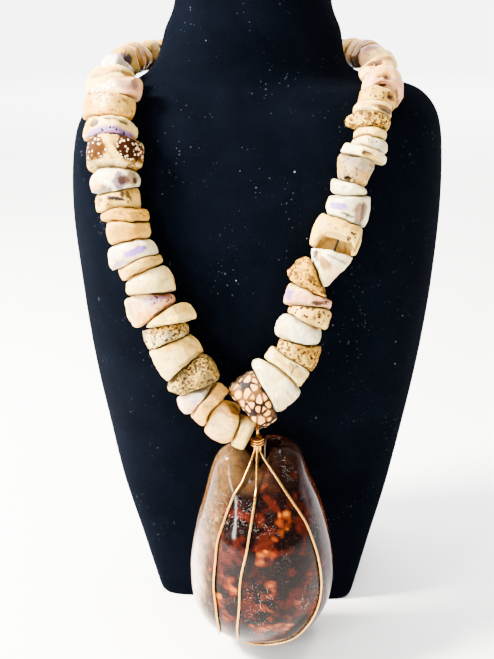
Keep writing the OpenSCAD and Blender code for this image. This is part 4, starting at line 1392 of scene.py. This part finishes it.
clasp = {
    "sides": 48,
    "ribs": 24,
    "ribDeep": 0.02,
    "tone": "#caa052",
    # along the barrel and out from its middle, as shares of its half length and radius
    "profile": [
        (-1.0, 0.45), (-1.0, 0.66), (-0.97, 0.74), (-0.90, 0.78), (-0.86, 0.74), (-0.84, 0.86),
        (-0.80, 0.97),
        (-0.70, 1.0), (-0.20, 1.0), (-0.12, 0.97), (-0.06, 0.90), (0.0, 0.84), (0.06, 0.90),
        (0.12, 0.97),
        (0.20, 1.0), (0.70, 1.0), (0.80, 0.97), (0.84, 0.86), (0.86, 0.74), (0.90, 0.78), (0.97, 0.74),
        (1.0, 0.66), (1.0, 0.45),
    ],
}


def goldLook(name, tone, rough):
    look = Look(name)
    drawn = look.noise(900.0, 3.0, 0.6)
    wear = look.noise(60.0, 2.0)
    colour = look.mix(look.ramp(wear, 0.35, 0.7) * 0.5, linearTone(tone), linearTone("#d8a458"))
    return look.finish(
        Base_Color=colour,
        Metallic=1.0,
        Roughness=look.ramp(drawn + wear * 0.5, 0.4, 1.0, rough, rough + 0.18),
        Normal=look.bump(drawn, 0.12, 0.0002),
    )


def claspMesh(c, st):
    # the profile turned once round the string's own line; fine ribs round the middle
    profile = evenly(throughPoints(c["profile"], 4), 90)
    turn = 2 * np.pi * np.arange(c["sides"]) / c["sides"]
    half, radius = st["claspLong"] / 2 - st["clear"], st["claspWide"] / 2
    barrel = smoothStep(0.8, 0.98, profile[:, 1])[:, None]
    ribs = 1 - c["ribDeep"] * (1 + np.cos(c["ribs"] * turn))[None] * barrel
    r = profile[:, 1][:, None] * radius * ribs
    x = profile[:, 0][:, None] * half + 0 * r
    place = onRoute(0.0)
    grid = place + np.stack([x, r * np.cos(turn), -r * np.sin(turn)], -1)
    return grid.reshape(-1, 3), gridFaces(len(profile), c["sides"], True, True)


points, faces = claspMesh(clasp, string)
claspGold = goldLook("claspGold", clasp["tone"], 0.22)
piece = putMesh("barrel_clasp", points, faces, claspGold, "stand", ["clasp"])
print("cord and clasp are in")


# Cowrie: a C of shell with a slit up its base

cowrie = {
    "long": 105.0,
    "wide": 69.0,
    "thick": 49.0,
    "slit": 3.0,
    "axis": (2.2, 7.2, -11.0),
    "backPower": 2.1,
    "basePower": 2.8,
    "cleft": 0.085,
    "cleftEnd": 0.16,
    "cleftTurn": -18.0,
    "slitRows": [(0, 2.9), (0.05, 2.4), (0.16, 2.0), (0.34, 1)],
    "teeth": 26,
    "toothHigh": 0.55,
    # amber clusters on the back: how far down, the turn, and the reach in mm
    "ambers": [
        (0.25, 18, 5), (0.31, 12, 3), (0.40, 2, 4), (0.75, 3, 5), (0.76, 18, 5), (0.86, 4, 3),
        (0.63, -33, 4), (0.70, -25, 4), (0.80, -30, 3), (0.52, 8, 3), (0.56, -22, 3),
    ],
    "amberGap": 3.9,
    "backRound": 31.0,
    "shade": 0.56,
    "tones": {
        "oval": "#110605",
        "red": "#47150a",
        "rust": "#7c2f0a",
        "amber": "#c8700f",
        "flank": "#553a1c",
        "straw": "#a67f38",
        # pale: a painted reflection on the lower left flank; band: a painted reflection down the right
        # side
        "pale": "#ecd2c0",
        "band": "#4a3c40",
        "edge": "#3b1c10",
        "lobe": "#5d4426",
        # the right lobe's painted shade, also laid inside the open top end
        "lobeShade": "#2c160c",
        "base": "#c9ab88",
        "teeth": "#e2cfae",
        "inside": "#bfa893",
    },
    "columns": 141,
    "rowsOut": 150,
    "rowsIn": 60,
    # down, left, right, back, base, twist, hollow
    "rows": [
        (0.000, 0.36, 0.38, 0.13, 0.17, 17, 0.66),
        (0.018, 0.50, 0.46, 0.18, 0.21, 16, 0.66),
        (0.050, 0.61, 0.53, 0.25, 0.245, 14, 0.66),
        (0.130, 0.70, 0.61, 0.37, 0.27, 10, 0.74),
        (0.260, 0.80, 0.78, 0.52, 0.29, 5, 0.84),
        (0.380, 0.90, 0.89, 0.62, 0.30, 2, 0.88),
        (0.540, 0.985, 0.985, 0.69, 0.30, 0, 0.90),
        (0.660, 1.00, 1.00, 0.70, 0.30, 0, 0.90),
        (0.760, 0.97, 0.95, 0.655, 0.295, 0, 0.88),
        (0.860, 0.85, 0.82, 0.53, 0.275, 0, 0.82),
        (0.930, 0.65, 0.66, 0.38, 0.23, 0, 0.62),
        (0.975, 0.40, 0.44, 0.23, 0.16, 0, 0.40),
        (1.000, 0.14, 0.15, 0.09, 0.07, 0, 0.40),
    ],
}
cowrieTable = throughPoints(cowrie["rows"], 8)


def column(down, k):
    return np.interp(down, cowrieTable[:, 0], cowrieTable[:, k])


def cowriePoint(down, turn, share):
    # an egg-like section: x by sin^(2/n), y by cos^(2/n), turned a little at the top and dipped
    # at the cleft
    c = cowrie
    s, k = np.sin(np.radians(turn)), np.cos(np.radians(turn))
    n = np.where(k > 0, c["backPower"], c["basePower"])
    side = np.where(s > 0, column(down, 2), column(down, 1))
    deep = np.where(k > 0, column(down, 3), column(down, 4))
    x = share * c["wide"] / 2 * side * signedPower(s, 2 / n)
    y = -share * c["thick"] * deep * signedPower(k, 2 / n)
    w = np.radians(column(down, 5))
    dip = np.maximum(np.cos(np.radians(turn - c["cleftTurn"])), 0) ** 12
    dip = c["cleft"] * dip * np.maximum(0, 1 - down / c["cleftEnd"])
    x, y = x * np.cos(w) - y * np.sin(w), x * np.sin(w) + y * np.cos(w)
    return np.stack([x, y, -c["long"] * (down + dip)], -1)


def slitTurn(down, share):
    slit = np.array(cowrie["slitRows"])
    half = cowrie["slit"] / 2 * np.interp(down, slit[:, 0], slit[:, 1])
    reach = share * cowrie["wide"] / 2 * column(down, 1)
    part = np.minimum(1, half / reach) ** (cowrie["basePower"] / 2)
    return 180 - np.degrees(np.arcsin(np.minimum(0.9, part)))


def cowrieSurface(c):
    # one closed strip: down the outside, in over the end, up the inside and out over the top
    outDown = np.linspace(0, 1, c["rowsOut"])
    inDown = np.linspace(1, 0, c["rowsIn"])
    inDown = 0.5 - 0.5 * np.cos(np.pi * (0.02 + 0.96 * inDown))
    down = np.concatenate([outDown, inDown])[:, None]
    inside = np.concatenate([0 * outDown, 1 + 0 * inDown])[:, None]
    share = blendTo(1.0, column(down, 6), inside)
    sweep = np.linspace(-1, 1, c["columns"])[None]
    turn = sweep * slitTurn(down, share)
    grid = cowriePoint(down, turn, share + 0 * turn)
    return grid, down + 0 * turn, turn, inside + 0 * turn


def cowrieMesh(c):
    grid, down, turn, inside = cowrieSurface(c)
    rows, cols = grid.shape[:2]
    normal = gridNormals(grid, True, False)
    ends = smoothStep(0.10, 0.2, down) * (1 - smoothStep(0.9, 0.97, down))
    lip = smoothStep(148, 176, np.abs(turn)) * ends
    wander = 0.012 * softNoise(grid / 9.0, 4)
    tooth = 0.5 + 0.5 * np.cos(2 * np.pi * c["teeth"] * (down + wander))
    height = c["toothHigh"] * lip * (1 - inside) * (tooth**1.5 - 0.2)
    height = height + (1 - inside) * 0.14 * layeredNoise(grid / 11.0, 8, 2)
    grid = grid + normal * height[..., None]
    faces = gridFaces(rows, cols, True, False)
    outRows = np.arange(c["rowsOut"])
    inRows = np.arange(c["rowsOut"], rows)[::-1]
    inMatch = inRows[np.round(np.linspace(0, len(inRows) - 1, len(outRows))).astype(int)]
    caps = []
    spans = (outRows[:-1], outRows[1:], inMatch[:-1], inMatch[1:])
    for edge in (0, cols - 1):  # each lip joins the outside to the inside
        a, b, near, far = (r * cols + edge for r in spans)
        caps.append(np.stack([b, a, near, far] if edge == 0 else [a, b, far, near], -1))
    return grid, down, turn, inside, np.concatenate([faces] + caps)


def cowriePaint(grid, down, turn, inside):
    # a near-black oval on the back with red-brown clouds and amber spots, an olive-brown left flank
    # whose lower edge carries a painted pale reflection, a grey-lilac band of painted reflection on the
    # right, the right lobe and the inside by the open top darkened as painted shade, and pale lips and
    # inside
    tone = {key: linearTone(code) * cowrie["shade"] for key, code in cowrie["tones"].items()}
    wander = layeredNoise(grid / 12.0, 31, 3)
    across = turn + 11 * wander
    clouds = smoothStep(0.0, 0.55, layeredNoise(grid / 5.0, 33, 5))
    near = 0 * down
    for atDown, atTurn, wide in cowrie["ambers"]:
        aside = np.radians(turn - atTurn) * cowrie["backRound"]
        gap = np.hypot((down - atDown) * cowrie["long"], aside) / wide
        near = np.maximum(near, 1 - smoothStep(0.5, 1.3, gap))
    warp = np.stack([softNoise(grid / 1.7, 40 + k) for k in range(3)], -1) * 0.7
    first, _ = nearestDots((grid + warp) / cowrie["amberGap"], 35)
    luck = 0.8 * softNoise(grid / 6.0, 37) + 1.5 * near - 0.50
    size = 0.20 + 0.26 * np.clip(luck, 0, 1)
    halo = (1 - smoothStep(size, size + 0.35, first)) * smoothStep(-0.30, 0.25, luck)
    core = (1 - smoothStep(size * 0.45, size * 0.45 + 0.20, first)) * smoothStep(0.0, 0.45, luck)
    flank = 1 - smoothStep(-50, -34, across)
    freckle = (1 - smoothStep(0.15, 0.42, first)) * smoothStep(-70, -48, across) * flank
    # painted reflection: the lower left flank pales towards its edge
    pale = (1 - smoothStep(-70, -43, across)) * smoothStep(0.30, 0.62, down)
    # painted reflection: a grey-lilac band down the right side
    band = smoothStep(46, 58, across) * (1 - smoothStep(70, 84, across))
    streaks = layeredNoise(np.stack([down * 9.0, turn / 9.0, 0 * turn], -1), 44, 3)
    edgeTone = laidOver(tone["edge"], tone["rust"], smoothStep(-0.1, 0.5, streaks) * 0.8)
    lobes = (1 - smoothStep(0.02, 0.20, down + 0.05 * wander)) * 0.75
    below = smoothStep(0.05, 0.18, down)
    paint = tone["oval"]
    for over, share in (
        (tone["red"], clouds * 0.8),
        (tone["rust"], halo * 0.85),
        (tone["amber"], core * 0.95),
        (tone["flank"], flank * 0.88),
        (tone["straw"], freckle * 0.5),
        (tone["pale"], pale * 0.95),
        (tone["band"], band * 0.75),
        (edgeTone, smoothStep(68, 86, across) * 0.85),
        (tone["lobe"], lobes * smoothStep(10, -25, turn)),
        # painted shade: the right lobe is darker than the left
        (tone["lobeShade"], lobes * smoothStep(-20, 10, turn)),
        (tone["base"], smoothStep(112, 142, np.abs(across)) * below * 0.9),
        (tone["teeth"], smoothStep(150, 172, np.abs(turn)) * below * 0.7),
        # painted shade: the inside near the open top end is darkened
        (laidOver(tone["lobeShade"], tone["inside"], below), inside),
    ):
        paint = laidOver(paint, over, share)
    return paint


def cowrieLook():
    look = Look("polishedCowrie")
    mottle = look.noise(260.0, 5.0, 0.65, 0.8)
    tone = look.tint(look.ramp(mottle, 0.50, 0.70) * 0.6, look.attribute("paint"), (2.6, 1.8, 1.3))
    tone = look.tint(look.ramp(mottle, 0.48, 0.34) * 0.65, tone, (0.35, 0.30, 0.32))
    worn = look.ramp(look.noise(45.0, 2.0), 0.50, 0.62)
    dust = look.ramp(look.dots(1500.0) + look.noise(420.0, 2.0) * 0.5, 0.42, 0.34)
    dust = dust * (worn * 0.55 + 0.06)
    tone = look.mix(dust, tone, (0.75, 0.72, 0.70))
    hair = look.drawnOut((1.0, 1.0, 0.06), (0.3, 0.9, 0.4))
    scratch = look.ramp(look.noise(2400.0, 2.0, 0.5, 0.2, hair), 0.66, 0.74) * worn
    tone = look.mix(scratch * 0.22, tone, (0.70, 0.66, 0.62))
    haze = look.noise(60.0, 5.0, 0.7, 2.0)
    return look.finish(
        Base_Color=tone,
        Roughness=look.ramp(haze, 0.45, 0.7, 0.07, 0.17) + dust * 0.3,
        Specular_IOR_Level=0.08,
        Normal=look.bump(haze * 0.6 - scratch * 0.5, 0.05, 0.0006),
    )


pivot = np.array(string["pivot"])
grid, down, turn, inside, faces = cowrieMesh(cowrie)
tint = cowriePaint(grid, down, turn, inside)
points = (grid + np.array(cowrie["axis"]) + pivot).reshape(-1, 3)
piece = putMesh("cowrie", points, faces, cowrieLook(), "pendant", ["cowrie_shell"], tint.reshape(-1, 3))
print("cowrie,", len(points), "points")


# Gold wire: three caging strands, and the bail with its coil

wires = {
    "thick": 1.1,
    "gap": 0.2,
    "lift": 0.10,
    "sides": 12,
    "strandSteps": 300,
    "bailSteps": 420,
    "coilTurns": 3,
    "coilLean": 20,
    "bailDrop": 11.0,
    "tone": "#b57c2e",
    "wave": 0.10,
    # how far down the cowrie and the turn
    "left": [
        (0.09, -30), (0.205, -37), (0.34, -40), (0.45, -38), (0.575, -36), (0.69, -34), (0.81, -36),
        (0.90, -48),
        (0.93, -80), (0.93, -120), (0.86, -148), (0.70, -160), (0.50, -166), (0.30, -174),
        (0.15, -178.8),
    ],
    "middle": [
        (0.115, -12), (0.25, -12), (0.37, -12), (0.49, -14), (0.615, -14), (0.74, -16), (0.86, -20),
        (0.94, -36),
        (0.97, -80), (0.97, -140), (0.92, -168), (0.80, -178), (0.60, -180), (0.36, -180), (0.15, -180),
    ],
    "right": [
        (0.10, 12), (0.195, 28), (0.28, 40), (0.383, 48), (0.478, 52), (0.585, 53), (0.688, 50),
        (0.78, 44),
        (0.87, 34), (0.93, 8), (0.975, -40), (0.985, -130), (0.95, -190), (0.82, -196), (0.60, -194),
        (0.32, -186), (0.15, -181.2),
    ],
}
bundleR = wires["thick"] + wires["gap"]
bundleTop = -string["bailLoop"] - 2 * wires["thick"]
bundleBottom = wires["thick"] - wires["bailDrop"]


def overCowrie(down, turn, lift):
    # the cowrie's skin pushed out along its normal by half the wire and a little air
    below, above = np.minimum(1, down + 0.01), np.maximum(0, down - 0.01)
    u = cowriePoint(below, turn, 1.0) - cowriePoint(above, turn, 1.0)
    v = cowriePoint(down, turn + 1, 1.0) - cowriePoint(down, turn - 1, 1.0)
    out = unit(np.cross(u, v))
    return cowriePoint(down, turn, 1.0) + out * (wires["thick"] / 2 + lift) + np.array(cowrie["axis"])


def strandAt(angle, z):
    a = math.radians(angle)
    return np.array([bundleR * math.cos(a), bundleR * math.sin(a), z])


def bendOver(a, b, c):  # a to c, setting out towards b
    t = np.linspace(0, 1, 10)[:-1, None]
    return (1 - t) ** 2 * a + 2 * t * (1 - t) * b + t**2 * c


def cageStrand(w, run, frontAngle, backAngle, seed):
    rows = throughPoints(run, 16)
    over = overCowrie(rows[:, 0], rows[:, 1], w["lift"])
    drop = np.array([0, 0, w["thick"]])
    first, last = strandAt(frontAngle, bundleBottom), strandAt(backAngle, bundleBottom)
    up = bendOver(last, last - drop, over[-1])[::-1]
    path = np.concatenate(
        [
            [strandAt(frontAngle, bundleTop - w["thick"])],
            bendOver(first, first - 2 * drop, over[0]),
            over,
            up,
            [strandAt(backAngle, bundleTop - w["thick"])],
        ]
    )
    path = evenly(path, w["strandSteps"])
    sway = np.stack([softNoise(path / 7.0 + k * 11.3, seed) for k in range(3)], -1) * w["wave"]
    return path + sway


def bailPath(w):
    loopR = string["bailLoop"] + w["thick"] / 2
    coilR = bundleR + w["thick"] + w["gap"]
    rise = np.linspace(bundleBottom, bundleTop, 12)
    stem = np.stack([0 * rise, 0 * rise, rise], -1)
    a = np.radians(np.linspace(250, -70, 64))
    loop = np.stack([0 * a, loopR * np.cos(a), loopR * np.sin(a)], -1)
    b = np.radians(np.linspace(0, 360 * w["coilTurns"], 40 * w["coilTurns"]))
    pitch = (w["thick"] + w["gap"]) / (2 * np.pi)
    lean = np.radians(w["coilLean"])
    coil = np.stack([coilR * np.sin(b + lean), coilR * np.cos(b + lean), bundleTop - pitch * b], -1)
    return np.concatenate([stem[:-1], loop, coil])


wireGold = goldLook("cageGold", wires["tone"], 0.13)
for name, run, frontAngle, backAngle, seed in (
    ("left", wires["left"], 210, 150, 3),
    ("middle", wires["middle"], 270, 90, 5),
    ("right", wires["right"], 330, 30, 7),
):
    strand = cageStrand(wires, run, frontAngle, backAngle, seed) + pivot
    points, faces = tubeMesh(strand, wires["thick"] / 2, wires["sides"])
    piece = putMesh(f"cage_wire_{name}", points, faces, wireGold, "pendant", [f"wire_{name}"])
bend = evenly(bailPath(wires), wires["bailSteps"]) + pivot
points, faces = tubeMesh(bend, wires["thick"] / 2, wires["sides"])
piece = putMesh("wire_bail", points, faces, wireGold, "pendant", ["bail"])
print("wires are wound")


# Floor


def layFloor(s):
    look = Look("paleTable")
    smudge = look.ramp(look.noise(2.5, 3.0), 0.35, 0.7)
    tone = look.mix(smudge * 0.4, s["floorTone"], s["floorSmudge"])
    half = s["floorSize"] / 2
    mesh = bpy.data.meshes.new("tableTop")
    ends = [(-half, -half, 0), (half, -half, 0), (half, half, 0), (-half, half, 0)]
    mesh.from_pydata(ends, [], [(0, 1, 2, 3)])
    mesh.materials.append(look.finish(Base_Color=tone, Roughness=0.75, Specular_IOR_Level=0.2))
    return addObject("tableTop", mesh)


floor = layFloor(studio)
print("floor is down")
